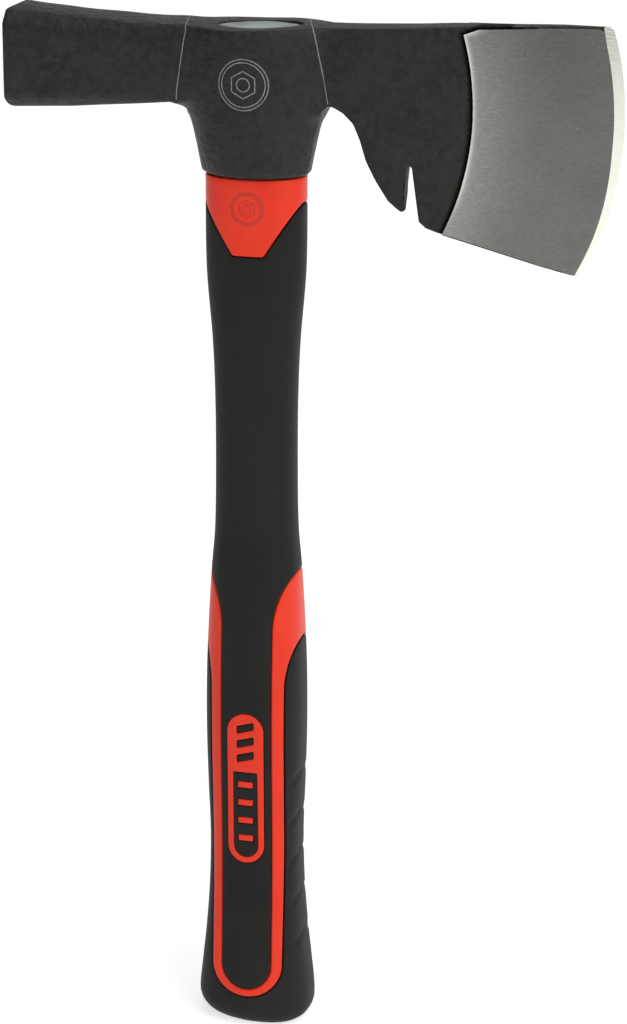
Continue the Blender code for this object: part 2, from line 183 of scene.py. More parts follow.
FORGING_GRID = 1.25
FORGING_STEP = 0.8
FORGING_ROUGHNESS = 0.07
FORGED_EDGE = 0.9
CROWN_EDGE_EXTRA = 0.35
RIM_EDGE_EXTRA = 0.3
BARE_EDGE = 0.12
EDGE_SHARE = 0.85

# Eye
EYE_OFFSET_TOP = 1.2
EYE_HALF_WIDTH = 12.5
EYE_FLATNESS = 0.57
EYE_SIDES = 72
EYE_FLARE = 0.55
RESIN_RECESS = 0.45
RESIN_MENISCUS = 0.35
RESIN_DIP = 0.45

# Handle: height, half width and half depth, as in the CAD model
HANDLE_STATIONS = (
    (0.0, 18.0, 14.8),
    (8.0, 18.1, 14.85),
    (18.0, 17.1, 14.7),
    (30.0, 15.8, 14.3),
    (45.0, 14.7, 13.9),
    (62.0, 14.3, 13.8),
    (80.0, 14.9, 14.1),
    (98.0, 15.3, 14.5),
    (116.0, 15.2, 14.3),
    (135.0, 14.6, 13.4),
    (150.0, 13.8, 12.3),
    (163.0, 12.8, 11.3),
    (180.0, 12.5, 10.6),
    (204.0, 12.6, 10.4),
    (222.0, 13.3, 10.5),
    (245.0, 15.1, 10.8),
    (273.0, 15.3, 10.9),
)
HANDLE_TOP = JACKET_HIGH.z
GRIP_SQUARENESS = 2.6
NECK_SQUARENESS = 2.3
GRIP_TO_NECK = (120.0, 160.0)
BUTT_ROUNDING = 5.6
BUTT_ROUNDING_POLL_SIDE = 9.0
BUTT_ROUNDING_BLADE_SIDE = 4.7
CAP_REACH = 9.0
SKIN_DEPTH = 1.5
SKIN_OVERLAP = 0.2

# The skin is laid out flat: angle round the handle times this radius, by height
SKIN_RADIUS = 15.0
SEAM = SKIN_RADIUS * math.pi / 2
BEYOND = 30.0
LAYOUT_STEP = 0.35
SKIN_GRID = 1.7
SKIN_STEP = 0.7
BADGE_GRID = 1.0
BADGE_STEP = 0.4
RED_EDGE = 0.50
BLACK_EDGE = 0.35

# Collar and its tongue
COLLAR_LOW = SLEEVE_HIGH.z + GAP
TONGUE_LOW = COLLAR_LOW - 15.7
TONGUE_HALF_WIDTH = 4.8
COLLAR_HALF_WIDTH = 15.2
TONGUE_CORNER = 1.2

# Loop
LOOP_INNER = 8.3
LOOP_INNER_FLARE_Z = 133.0
LOOP_INNER_FLARE_RADIUS = 29.0
LOOP_OUTER = 11.75
LOOP_OUTER_FLARE_Z = 113.5
LOOP_OUTER_FLARE_RADIUS = 39.0
LOOP_OUTER_TURN = (11.5, 10.7)
LOOP_TURN_Z = SLEEVE_LOW.z + LOOP_INNER - GAP
FLARE_REACH = 21.0

# Badge
BADGE_RING = 1.9
BADGE_HALF_WIDTH = PANEL_HIGH.x + GAP + BADGE_RING
BADGE_LOW = PANEL_LOW.z - GAP - BADGE_RING
BADGE_HIGH = BADGE_LOW + 50.0
PANEL_TOP = PANEL_HIGH.z + GAP
PANEL_BARS = 4
PANEL_BAR_SIZE = (2.4, 1.0)
PANEL_BAR_FIRST_Z = BADGE_LOW + 8.4
PANEL_BAR_PITCH = 6.0
SLANT_BARS = 3
SLANT_BAR_SIZE = (2.6, 1.1)
SLANT_BAR_RISE = 1.6
BAR_CORNER = 0.3
BADGE_EDGE = 0.28

# Finger grooves on the blade's side of the grip
GROOVES = 5
GROOVE_FIRST_Z = 30.6
GROOVE_PITCH = 13.7
GROOVE_DEPTH = 0.75
GROOVE_HALF_HEIGHT = 0.75
GROOVE_START_ANGLE = math.radians(51)
GROOVE_START_LENGTH = 0.12
GROOVE_FADE = (math.radians(68), math.radians(88), 0.65)
GROOVE_CLIMB = 5.3

# Marks: a ring round a hexagon on the socket and on the collar, and scribed lines on the head
HEAD_MARK_H = -16.0
HEAD_MARK_RADII = (7.5, 6.55)
COLLAR_MARK_Z = 264.4
COLLAR_MARK_RADII = (4.95, 4.3)
SCRIBED_LINES = (((-18.5, -1.6), (-21.6, -22.2)), ((19.8, -1.6), (23.4, -21.9)))
SCRIBED_LINE_LEANS = (-0.22, -0.27)
EMBLEM_HEXAGON = 0.62
EMBLEM_HOLE = 0.30
MARK_STEP = 0.5
MARK_END_MARGIN = 1.4
MARK_PROUD = 0.06
MARK_SINK = 0.15
HEAD_LINE_WIDTH = 0.30
SCRIBED_LINE_WIDTH = 0.25
COLLAR_LINE_WIDTH = 0.36

# Brightness of the surround on the poll's side and on the blade's side
WORLD_LEFT = 0.12
WORLD_RIGHT = 0.55

# Camera
CAMERA_AZIMUTH = math.radians(15.5)
CAMERA_DISTANCE = 0.950
CAMERA_HEIGHT = 0.470
CAMERA_YAW = math.radians(14.453)
CAMERA_PITCH = math.radians(17.666)
CAMERA_ROLL = math.radians(0.245)
CAMERA_LENS = 114.11
CAMERA_SENSOR = 36.0


# ---------------------------------------------------------------- curves and outlines


def smooth_share(low, high, value):
    """0 up to low, 1 from high, and a smooth rise between them."""
    share = np.clip((value - low) / (high - low), 0.0, 1.0)
    return share * share * (3.0 - 2.0 * share)


def smooth_max(first, second, blend):
    """The larger value, rounded over where the two come within blend of each other."""
    overlap = np.maximum(blend - np.abs(first - second), 0.0) / blend
    return np.maximum(first, second) + overlap**2 * blend / 4.0


def smooth_min(first, second, blend):
    return -smooth_max(-first, -second, blend)


def smooth_curve(stations, column=1):
    """A function whose smooth curve runs through the stations' values."""
    at = np.array([station[0] for station in stations], float)
    value = np.array([station[column] for station in stations], float)
    before = np.maximum(np.arange(len(at)) - 1, 0)
    after = np.minimum(np.arange(len(at)) + 1, len(at) - 1)
    slope = (value[after] - value[before]) / (at[after] - at[before])

    def evaluate(place):
        place = np.clip(place, at[0], at[-1])
        k = np.clip(np.searchsorted(at, place) - 1, 0, len(at) - 2)
        span = at[k + 1] - at[k]
        t = (place - at[k]) / span
        rise = (2 * t**3 - 3 * t**2 + 1) * value[k] + (3 * t**2 - 2 * t**3) * value[k + 1]
        lean = (t**3 - 2 * t**2 + t) * slope[k] + (t**3 - t**2) * slope[k + 1]
        return rise + span * lean

    return evaluate


def straight(stations, place):
    """The value at a place, on straight lines between the stations."""
    at, value = zip(*stations)
    return np.interp(place, at, value)


def arc(centre, radius, start_degrees, end_degrees, steps=12):
    angles = np.radians(np.linspace(start_degrees, end_degrees, steps + 1))
    return [(centre[0] + radius * math.cos(a), centre[1] + radius * math.sin(a)) for a in angles]


def rounded(points, steps=6):
    """A closed outline whose corners are rounded. Each point is x, y and perhaps a corner radius."""
    made = []
    share = np.linspace(0.0, 1.0, steps + 1)[:, None]
    for i, point in enumerate(points):
        if len(point) < 3:
            made.append(tuple(point))
            continue
        corner = np.array(point[:2])
        back = np.array(points[i - 1][:2]) - corner
        ahead = np.array(points[(i + 1) % len(points)][:2]) - corner
        back_length, ahead_length = np.linalg.norm(back), np.linalg.norm(ahead)
        back, ahead = back / back_length, ahead / ahead_length
        half_angle = math.acos(np.clip(back @ ahead, -1.0, 1.0)) / 2
        reach = point[2] / max(math.tan(half_angle), 1e-6)
        reach = min(reach, 0.48 * back_length, 0.48 * ahead_length)
        leg_in = corner + back * reach * (1.0 - share)
        leg_out = corner + ahead * reach * share
        made += [tuple(place) for place in leg_in + (leg_out - leg_in) * share]
    return made


def edge_dip(distance, radius):
    """How far a rounded edge falls away at a distance from it."""
    missing = np.clip(radius - distance, 0.0, None)
    return radius - np.sqrt(np.maximum(radius**2 - missing**2, 0.0))


def resampled(points, step, closed=True):
    """The same outline, with a point at least every step."""
    ends = points[1:] + points[:1] if closed else points[1:]
    made = []
    for start, end in zip(points, ends):
        start, end = np.array(start[:2]), np.array(end[:2])
        length = np.linalg.norm(end - start)
        if length < 1e-6:
            continue
        parts = max(1, math.ceil(length / step))
        made += [tuple(start + (end - start) * k / parts) for k in range(parts)]
    if not closed:
        made.append(tuple(points[-1][:2]))
    return made


def segments_of(outlines, skip=None):
    """Start and end points of every outline's segments, less those that skip() names."""
    starts, ends = [], []
    for outline in outlines:
        points = np.array(outline)
        starts.append(points)
        ends.append(np.roll(points, -1, axis=0))
    starts, ends = np.vstack(starts), np.vstack(ends)
    if skip is not None:
        kept = ~skip(starts, ends)
        starts, ends = starts[kept], ends[kept]
    return starts, ends


def distance_to(points, segments, chunk=1500):
    """The distance from each point to the nearest segment."""
    starts, ends = segments
    along = ends - starts
    squared = np.maximum((along**2).sum(1), 1e-12)
    found = np.empty(len(points))
    for first in range(0, len(points), chunk):
        offset = points[first : first + chunk, None, :] - starts
        share = np.clip((offset * along).sum(2) / squared, 0.0, 1.0)
        found[first : first + chunk] = np.linalg.norm(offset - share[..., None] * along, axis=2).min(1)
    return found


def inside(points, outlines, chunk=1500):
    """Which points lie inside the outlines. An outline inside another is a hole."""
    starts, ends = segments_of(outlines)
    rise = ends[:, 1] - starts[:, 1]
    rise = np.where(np.abs(rise) < 1e-12, 1e-12, rise)
    found = np.empty(len(points), bool)
    for first in range(0, len(points), chunk):
        x = points[first : first + chunk, None, 0]
        y = points[first : first + chunk, None, 1]
        spans = (starts[:, 1] > y) != (ends[:, 1] > y)
        crossing = starts[:, 0] + (y - starts[:, 1]) / rise * (ends[:, 0] - starts[:, 0])
        found[first : first + chunk] = (spans & (x < crossing)).sum(1) % 2 == 1
    return found


# ---------------------------------------------------------------- flat patches and meshes

Patch = namedtuple("Patch", "points triangles rim distance")
RING_SHARES = (0.07, 0.26, 0.58, 1.05)


def sideways(points, closed):
    """The direction across a path at each of its points."""
    along = np.roll(points, -1, axis=0) - np.roll(points, 1, axis=0)
    if not closed:
        along[0], along[-1] = points[1] - points[0], points[-1] - points[-2]
    across = np.column_stack([-along[:, 1], along[:, 0]])
    return across / np.maximum(np.linalg.norm(across, axis=1), 1e-9)[:, None]


def beside(outline, reach, closed=True):
    """Points beside an outline on both sides, closest near it. reach() says how far they go."""
    points = np.array(outline)
    far = reach(points)
    kept = far > 0
    points, far, across = points[kept], far[kept, None], sideways(points, closed)[kept]
    rows = []
    for share in RING_SHARES:
        for side in (-1.0, 1.0):
            rows.append(np.hstack([points + side * share * far * across, share * far]))
    return np.vstack(rows)


def hexagonal_grid(low, high, spacing):
    rows = np.arange(low[1], high[1], spacing * math.sqrt(3) / 2)
    columns = np.arange(low[0] - spacing, high[0] + spacing, spacing)
    made = []
    for k, y in enumerate(rows):
        made.append(np.column_stack([columns + spacing / 2 * (k % 2), np.full(len(columns), y)]))
    return np.vstack(made)


def inner_points(outlines, lines, spacing, reach):
    """Points inside the outlines: rows beside them and beside the lines, and a grid between."""
    every = segments_of(outlines)
    own = [beside(outline, reach) for outline in outlines]
    own += [beside(line, reach, closed=False) for line in lines]
    rings = np.vstack(own)
    rings = rings[inside(rings[:, :2], outlines)]
    rings = rings[distance_to(rings[:, :2], every) > 0.9 * rings[:, 2]][:, :2]
    corners = np.vstack(outlines)
    grid = hexagonal_grid(corners.min(0), corners.max(0), spacing)
    grid = grid[inside(grid, outlines)]
    grid = grid[distance_to(grid, every) > 0.5 * spacing + 1.05 * reach(grid)]
    if lines:
        line_points = np.vstack(lines)
        gaps = np.linalg.norm(grid[:, None, :] - line_points[None, ::2, :], axis=2).min(1)
        grid = grid[gaps > 0.75 * spacing]
    return np.vstack([rings, grid])


def fill(outlines, spacing, step, reach, lines=(), skip=None):
    """A flat patch of triangles inside the outlines, finer beside them and beside the lines."""
    outlines = [resampled(outline, step) for outline in outlines]
    lines = [resampled(line, step, closed=False) for line in lines]
    points, edges = [], []
    for path in outlines + lines:
        first, count = len(points), len(path)
        points += path
        edges += [(first + k, first + k + 1) for k in range(count - 1)]
        if path in outlines:
            edges.append((first + count - 1, first))
    points += [tuple(p) for p in inner_points(outlines, lines, spacing, reach)]
    made = delaunay_2d_cdt([Vector(p) for p in points], edges, [], 0, 1e-5)
    flat = np.array([tuple(v) for v in made[0]])
    triangles = np.array(made[2])
    triangles = triangles[inside(flat[triangles].mean(1), outlines)]
    used, compact = np.unique(triangles, return_inverse=True)
    triangles, flat = compact.reshape(-1, 3), flat[used]
    rim = rim_of(flat, triangles, skip)
    return Patch(flat, triangles, rim, distance_to(flat, segments_of(outlines, skip)))


def rim_of(flat, triangles, skip):
    """The edges that only one triangle uses, less those that skip() names."""
    sides = np.vstack([triangles[:, [0, 1]], triangles[:, [1, 2]], triangles[:, [2, 0]]])
    pairs = np.sort(sides, axis=1)
    _, places, counts = np.unique(pairs, axis=0, return_index=True, return_counts=True)
    rim = sides[places[counts == 1]]
    if skip is not None:
        rim = rim[~skip(flat[rim[:, 0]], flat[rim[:, 1]])]
    return rim


def shell(patch, outer, inner):
    """Vertices and faces of a closed plate: a patch's outer and inner places, joined at the rim."""
    count = len(patch.points)
    faces = [tuple(face) for face in patch.triangles]
    faces += [tuple(face[::-1] + count) for face in patch.triangles]
    faces += [(b, a, a + count, b + count) for a, b in patch.rim]
    return np.vstack([outer, inner]), faces


def other_side(part):
    """The same surface on the back of the object."""
    vertices, faces = part
    return vertices * (1.0, -1.0, 1.0), [face[::-1] for face in faces]


def loft(rings):
    """Vertices and faces of a closed solid through rings of equally many points."""
    sides = len(rings[0])
    faces = [tuple(range(sides))[::-1]]
    for level in range(len(rings) - 1):
        low = level * sides
        for k in range(sides):
            after = (k + 1) % sides
            faces.append((low + k, low + after, low + sides + after, low + sides + k))
    faces.append(tuple(range((len(rings) - 1) * sides, len(rings) * sides)))
    return np.vstack(rings), faces


def new_object(name, parts, materials=(), smooth_angle=SMOOTH_ANGLE):
    """An object of one or more surfaces in millimetres, welded where they meet."""
    bm = bmesh.new()
    for vertices, faces in parts:
        verts = [bm.verts.new(tuple(v * MM)) for v in np.asarray(vertices, float)]
        for face in faces:
            bm.faces.new([verts[k] for k in face])
        bmesh.ops.remove_doubles(bm, verts=verts, dist=WELD * MM)
    loose = [v for v in bm.verts if not v.link_faces]
    bmesh.ops.delete(bm, geom=loose, context="VERTS")
    bmesh.ops.recalc_face_normals(bm, faces=bm.faces)
    mesh = bpy.data.meshes.new(name)
    bm.to_mesh(mesh)
    bm.free()
    for look in materials:
        mesh.materials.append(look)
    shade(mesh, smooth_angle)
    return placed(name, mesh)


def placed(name, data):
    """A new object in the scene."""
    obj = bpy.data.objects.new(name, data)
    bpy.context.scene.collection.objects.link(obj)
    return obj


def shade(mesh, smooth_angle):
    mesh.shade_smooth()
    mesh.set_sharp_from_angle(angle=math.radians(smooth_angle))


def store(mesh, name, values):
    """Keeps a value for each vertex, for a material to read."""
    layer = mesh.attributes.new(name, "FLOAT", "POINT")
    layer.data.foreach_set("value", values.astype(np.float32))


def cut(obj, cutter):
    """Takes the cutter's shape out of obj and removes the cutter."""
    modifier = obj.modifiers.new("cut", "BOOLEAN")
    modifier.operation = "DIFFERENCE"
    modifier.solver = "EXACT"
    modifier.object = cutter
    graph = bpy.context.evaluated_depsgraph_get()
    mesh = bpy.data.meshes.new_from_object(obj.evaluated_get(graph), depsgraph=graph)
    obj.modifiers.clear()
    obj.data = mesh
    mesh.name = obj.name
    bpy.data.objects.remove(cutter, do_unlink=True)
    return obj


def add_piece(obj, slot, *nodes):
    """Attaches obj to the hatchet's body, and hides the CAD nodes that it replaces."""
    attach(obj, BODY)
    if nodes:
        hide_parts(*nodes)
    return obj


def made_piece(name, parts, look, slot, *nodes):
    """A new piece of the hatchet, in one look."""
    return add_piece(new_object(name, parts, [look]), slot, *nodes)


# ---------------------------------------------------------------- materials


def set_inputs(tree, node, inputs):
    """Sets a node's inputs. Each is a value, or another node's output."""
    for name, value in inputs.items():
        if isinstance(value, bpy.types.NodeSocket):
            tree.links.new(value, node.inputs[name])
        else:
            node.inputs[name].default_value = value


def add_node(tree, kind, output, inputs, **settings):
    """One output of a new node."""
    node = tree.nodes.new("ShaderNode" + kind)
    for setting, value in settings.items():
        setattr(node, setting, value)
    set_inputs(tree, node, inputs)
    return node.outputs[output]


class Look:
    """A material in the making, with short ways to add its nodes. Sizes are in millimetres."""

    def __init__(self, name, roughness, metallic=0.0, specular=0.5):
        self.material = bpy.data.materials.new(name)
        self.material.use_nodes = True
        self.tree = self.material.node_tree
        self.place = add_node(self.tree, "TexCoord", "Object", {})
        self.set({"Roughness": roughness, "Metallic": metallic, "Specular IOR Level": specular})

    def set(self, inputs):
        """Sets some of the surface's own inputs."""
        set_inputs(self.tree, self.tree.nodes["Principled BSDF"], inputs)

    def noise(self, size, stretch=(1.0, 1.0, 1.0), detail=2.0, roughness=0.5):
        """A cloudy value whose lumps are about as large as the size."""
        factors = {0: self.place, 1: stretch}
        place = add_node(self.tree, "VectorMath", "Vector", factors, operation="MULTIPLY")
        inputs = {"Vector": place, "Scale": 1.0 / (size * MM), "Detail": detail, "Roughness": roughness}
        return add_node(self.tree, "TexNoise", "Fac", inputs)

    def specks(self, size, radius):
        """Small round spots, 1 inside and 0 outside, one to each cell of the size."""
        inputs = {"Vector": self.place, "Scale": 1.0 / (size * MM)}
        distance = add_node(self.tree, "TexVoronoi", "Distance", inputs)
        return self.ranged(distance, radius, radius * 0.6)

    def ranged(self, value, from_low, from_high, to_low=0.0, to_high=1.0):
        inputs = {"Value": value, "From Min": from_low, "From Max": from_high}
        inputs |= {"To Min": to_low, "To Max": to_high}
        return add_node(self.tree, "MapRange", "Result", inputs)

    def product(self, first, second):
        return add_node(self.tree, "Math", "Value", {0: first, 1: second}, operation="MULTIPLY")

    def attribute(self, name):
        return add_node(self.tree, "Attribute", "Fac", {}, attribute_name=name)

    def mixed(self, factor, first, second):
        """A colour between two, each a colour or another node's output."""
        first, second = ((*c, 1.0) if isinstance(c, tuple) else c for c in (first, second))
        return add_node(self.tree, "Mix", 2, {"Factor": factor, 6: first, 7: second}, data_type="RGBA")

    def blend(self, value, first, second, low=0.3, high=0.7, share=1.0):
        """One colour that goes towards another as a value rises from low to high."""
        return self.mixed(self.ranged(value, low, high, 0.0, share), first, second)

    def bump(self, height, depth, under=None):
        """A rise of the depth over the height's range, on top of the bump under it."""
        inputs = {"Strength": 1.0, "Distance": depth * MM, "Height": height}
        if under is not None:
            inputs["Normal"] = under
        return add_node(self.tree, "Bump", "Normal", inputs)

    def finish(self, colour, normal, **more):
        """The finished material."""
        self.set({"Base Color": colour, "Normal": normal, **more})
        return self.material


def lacquer():
    """Black lacquer over the forged skin: cloudy, lumpy and finely grained, with a band of painted shade
    beside the ground face.
    """
    look = Look("forged_lacquer", 0.5, specular=0.2)
    cloud = look.noise(14.0, detail=3.0)
    lumps = look.noise(3.2, detail=3.0, roughness=0.55)
    grain = look.noise(0.55)
    mottle = look.noise(2.4, detail=4.0, roughness=0.65)
    shade_band = look.attribute("painted_shade_band")
    colour = look.blend(cloud, (0.0110, 0.0118, 0.0104), (0.0185, 0.0194, 0.0171))
    colour = look.blend(mottle, colour, (0.0280, 0.0292, 0.0260), 0.36, 0.70, 0.8)
    # Painted shade: in the band beside the ground face the paint goes almost black and loses its shine
    colour = look.mixed(shade_band, colour, (0.0018, 0.0018, 0.0017))
    look.set({"Specular IOR Level": look.ranged(shade_band, 0.0, 1.0, 0.2, 0.0)})
    normal = look.bump(lumps, 0.70)
    normal = look.bump(mottle, 0.35, normal)
    normal = look.bump(grain, 0.06, normal)
    return look.finish(colour, normal, Roughness=look.ranged(grain, 0.3, 0.7, 0.40, 0.58))


def ground_steel():
    """Bare steel with the fine lengthwise scratches of a belt, a painted highlight along the lip of the
    ground face and a painted sheen near its rear arc.
    """
    look = Look("ground_steel", 0.34, metallic=1.0)
    streaks = look.noise(1.0, stretch=(0.14, 0.4, 2.0), detail=5.0, roughness=0.75)
    scratches = look.noise(0.5, stretch=(0.06, 0.3, 3.0))
    cloud = look.noise(20.0, detail=3.0)
    grain = look.noise(0.8, stretch=(0.5, 1.0, 1.7), detail=4.0, roughness=0.7)
    pits = look.product(look.specks(6.0, 0.045), look.ranged(look.noise(9.0), 0.5, 0.55))
    flecks = look.product(look.specks(3.1, 0.05), look.ranged(look.noise(7.0), 0.54, 0.60))
    colour = look.blend(cloud, (0.147, 0.150, 0.139), (0.187, 0.189, 0.174))
    colour = look.blend(streaks, colour, (0.225, 0.227, 0.213), 0.35, 0.75, 0.55)
    # Painted sheen: the ground face is coloured lighter towards its rear arc
    colour = look.mixed(look.attribute("painted_ground_sheen"), colour, (0.36, 0.36, 0.34))
    colour = look.blend(grain, colour, (0.105, 0.107, 0.100), 0.35, 0.7, 0.45)
    colour = look.mixed(pits, colour, (0.05, 0.05, 0.045))
    colour = look.mixed(flecks, colour, (0.40, 0.40, 0.37))
    # Painted highlight: the lip of the ground face is coloured almost white
    colour = look.mixed(look.attribute("painted_lip_highlight"), colour, (0.80, 0.80, 0.75))
    roughness = look.ranged(streaks, 0.3, 0.7, 0.30, 0.42)
    return look.finish(colour, look.bump(scratches, 0.012), Roughness=roughness)


def honed_steel():
    """The bright bevel along the cutting edge."""
    look = Look("honed_steel", 0.22, metallic=1.0)
    streaks = look.noise(0.6, stretch=(0.2, 0.4, 1.8), detail=3.0)
    colour = look.blend(streaks, (0.82, 0.83, 0.74), (0.90, 0.90, 0.82))
    roughness = look.ranged(streaks, 0.3, 0.7, 0.18, 0.32)
    return look.finish(colour, look.bump(streaks, 0.004), Roughness=roughness)


def grip_rubber():
    """Matt black moulded rubber with a fine grain and a slight bloom."""
    look = Look("grip_rubber", 0.6, specular=0.18)
    cloud = look.noise(22.0, stretch=(1.0, 1.0, 0.6), detail=3.0)
    grain = look.noise(0.35)
    colour = look.blend(cloud, (0.0080, 0.0084, 0.0076), (0.0136, 0.0141, 0.0128))
    normal = look.bump(grain, 0.035, look.bump(look.noise(5.0), 0.10))
    return look.finish(colour, normal, Roughness=look.ranged(grain, 0.3, 0.7, 0.52, 0.66))


def red_plastic():
    """Glossy red polypropylene, with faint flow marks from the mould."""
    look = Look("red_plastic", 0.42, specular=0.22)
    flow = look.noise(9.0, stretch=(1.0, 1.0, 0.35), detail=3.0)
    grain = look.noise(0.5)
    colour = look.blend(flow, (0.705, 0.031, 0.010), (0.775, 0.039, 0.014))
    roughness = look.ranged(grain, 0.3, 0.7, 0.33, 0.45)
    return look.finish(colour, look.bump(grain, 0.02), Roughness=roughness)


def cloudy_resin():
    """Grey-green epoxy, clouded by bubbles and flecked with lacquer at one end."""
    look = Look("cloudy_resin", 0.30)
    cloud = look.noise(4.0, detail=4.0, roughness=0.6)
    flecks = look.ranged(look.noise(1.3, detail=3.0, roughness=0.7), 0.60, 0.66)
    colour = look.blend(cloud, (0.232, 0.266, 0.245), (0.348, 0.389, 0.365))
    splatter = look.product(flecks, look.attribute("splatter"))
    colour = look.mixed(splatter, colour, (0.03, 0.032, 0.028))
    roughness = look.ranged(cloud, 0.3, 0.7, 0.30, 0.45)
    return look.finish(colour, look.bump(cloud, 0.10), Roughness=roughness)


def plain_look(name, base_roughness, size, depth, first, second, low=0.3, high=0.7, **kind):
    """Two colours clouded together by one noise, which also makes the bumps."""
    look = Look(name, base_roughness)
    cloud = look.noise(size, **kind)
    return look.finish(look.blend(cloud, first, second, low, high), look.bump(cloud, depth))


def dark_red_mark():
    """The collar's mark: the same red, pressed in and left darker."""
    return plain_look("pressed_mark", 0.5, 0.4, 0.02, (0.42, 0.016, 0.008), (0.52, 0.024, 0.012))


def etched_line():
    """Light grey scribed and etched lines on the lacquer."""
    colours = ((0.13, 0.13, 0.125), (0.27, 0.27, 0.26))
    return plain_look("etched_line", 0.5, 0.5, 0.02, *colours, 0.35, 0.65)


def fibreglass():
    """Straw-coloured fibreglass with its strands running up the rod."""
    colours = ((0.42, 0.38, 0.18), (0.68, 0.64, 0.40))
    strands = {"stretch": (1.0, 1.0, 0.03), "detail": 3.0}
    return plain_look("fibreglass", 0.45, 0.8, 0.05, *colours, **strands)


def dam_foam():
    """Dark foam with open cells."""
    colours = ((0.02, 0.02, 0.02), (0.07, 0.07, 0.068))
    return plain_look("dam_foam", 0.9, 0.7, 0.2, *colours, detail=4.0, roughness=0.7)


def floor_paper():
    """Pale studio paper."""
    look = Look("floor_paper", 0.9, specular=0.1)
    colour = look.blend(look.noise(120.0), (0.52, 0.52, 0.52), (0.54, 0.54, 0.54))
    look.set({"Emission Color": (1.0, 1.0, 1.0, 1.0), "Emission Strength": 0.70})
    return look.finish(colour, look.bump(look.noise(1.0), 0.01))


# ---------------------------------------------------------------- head

top_line = smooth_curve(TOP_LINE)
socket_half_width = smooth_curve(SOCKET_STATIONS, 1)
socket_half_depth = smooth_curve(SOCKET_STATIONS, 2)


def edge_x(height):
    """Where the cutting edge is at a height above CROWN."""
    return EDGE_CENTRE_X + np.sqrt(EDGE_RADIUS**2 - (height - EDGE_CENTRE_H) ** 2)


def head_outline():
    """The head seen from the front: poll face, upper line, cutting edge, underside and socket."""
    top = [(x, float(top_line(x))) for x in np.arange(-70.5, 104.0, 3.0)]
    toe_h = TOP_LINE[-1][1]
    toe = (float(edge_x(toe_h)), toe_h, TOE_CORNER)
    heel_h = UNDERSIDE[0][1]
    edge = [(float(edge_x(h)), h) for h in np.linspace(toe_h - 2.8, heel_h + 6.5, 34)]
    side_heights = np.linspace(-25.0, SOCKET_LOW, 24)
    right_side = [(float(socket_half_width(h)), h) for h in side_heights]
    fillet_x = POLL_FILLET_END - POLL_FILLET
    fillet_centre = (fillet_x, straight(POLL_UNDERSIDE, fillet_x) - POLL_FILLET)
    fillet = arc(fillet_centre, POLL_FILLET, -5, 90, 8)
    left_side = [(-x, h) for x, h in reversed(right_side) if h < fillet[0][1] - 1.0]
    face_low = (POLL_FACE_X, POLL_UNDERSIDE[0][1], POLL_LOW_CORNER)
    face_top = (POLL_FACE_X, TOP_LINE[0][1], POLL_TOP_CORNER)
    points = [face_low, face_top, *top, toe, *edge, *UNDERSIDE, *SLOT_SIDE, *SLOT_TOP, *CLAW]
    points += [(*THROAT_CUSP, 1.0), *right_side, *left_side, *fillet, *reversed(POLL_UNDERSIDE[1:-1])]
    return rounded(points)


def lower_line(x):
    """Height of the blade's underside behind the heel."""
    stations = sorted((point[0], point[1]) for point in UNDERSIDE)
    return straight(stations, x)


def bevel_width(height):
    return straight(BEVEL_WIDTH_BY_HEIGHT, height)


def bevel_line():
    """The rear edge of the honed bevel, run on past both ends of the blade."""
    heights = np.linspace(TOP_LINE[-1][1] + 0.5, UNDERSIDE[0][1] - 1.5, 40)
    return [(float(edge_x(h) - bevel_width(h)), h) for h in heights]


def ground_rear_x(height):
    """Where the arc is that ends the ground face at its rear."""
    return GROUND_CENTRE_X + np.sqrt(GROUND_RADIUS**2 - (height - GROUND_CENTRE_H) ** 2)


def ground_outline():
    """The ground face of the blade, from its rear arc to the honed bevel."""
    low_h = float(lower_line(GROUND_LOWER_X)) + GROUND_LOWER_MARGIN
    heights = np.linspace(low_h, -0.1, 30)
    rear = [(float(ground_rear_x(h)), h) for h in heights]
    upper = [(x, float(top_line(x)) - GROUND_UPPER_MARGIN) for x in np.arange(72.0, 103.0, 3.0)]
    front = [
        (x, h)
        for x, h in bevel_line()
        if lower_line(x) + GROUND_LOWER_MARGIN < h < top_line(x) - GROUND_UPPER_MARGIN
    ]
    lower_xs = np.arange(front[-1][0] - 1.0, 60.0, -3.0)
    lower = [(x, float(lower_line(x)) + GROUND_LOWER_MARGIN) for x in lower_xs]
    return rear + [GROUND_CORNER] + upper + front + lower


def poll_half_depth(x, height):
    """The poll: tapered, crowned on top, and chamfered along its four long edges."""
    full = straight(POLL_HALF_DEPTH, x)
    fade = smooth_share(*POLL_CHAMFER_FADE, x)
    chamfer = POLL_CHAMFER * (1.0 - 0.55 * fade)
    rise = straight(POLL_CROWN_RISE, x)
    below_top = top_line(x) - height
    above_low = height - straight(POLL_UNDERSIDE, x)
    above_low = np.where(above_low < 0.0, 2.5 * above_low, above_low)
    softness = 0.5 + 3.0 * fade
    depth = smooth_min(full, full - chamfer + np.maximum(below_top - rise, 0.0), softness)
    depth = smooth_min(depth, full - chamfer + above_low, softness)
    up_the_crown = np.clip(1.0 - below_top / np.maximum(rise, 0.01), 0.0, 1.0)
    depth = depth * np.sqrt(1.0 - up_the_crown**2)
    return np.where(x < 0.0, np.maximum(depth, POLL_RIDGE), 0.0)


def socket_depth(x, height):
    share = np.clip(x / socket_half_width(height), -1.0, 1.0)
    return socket_half_depth(height) * np.sqrt(1.0 - share**2)


def blade_thickness(x, height):
    """Half the blade's thickness, by its distance behind the cutting edge."""
    return straight(BLADE_HALF_BY_SETBACK, edge_x(height) - x)


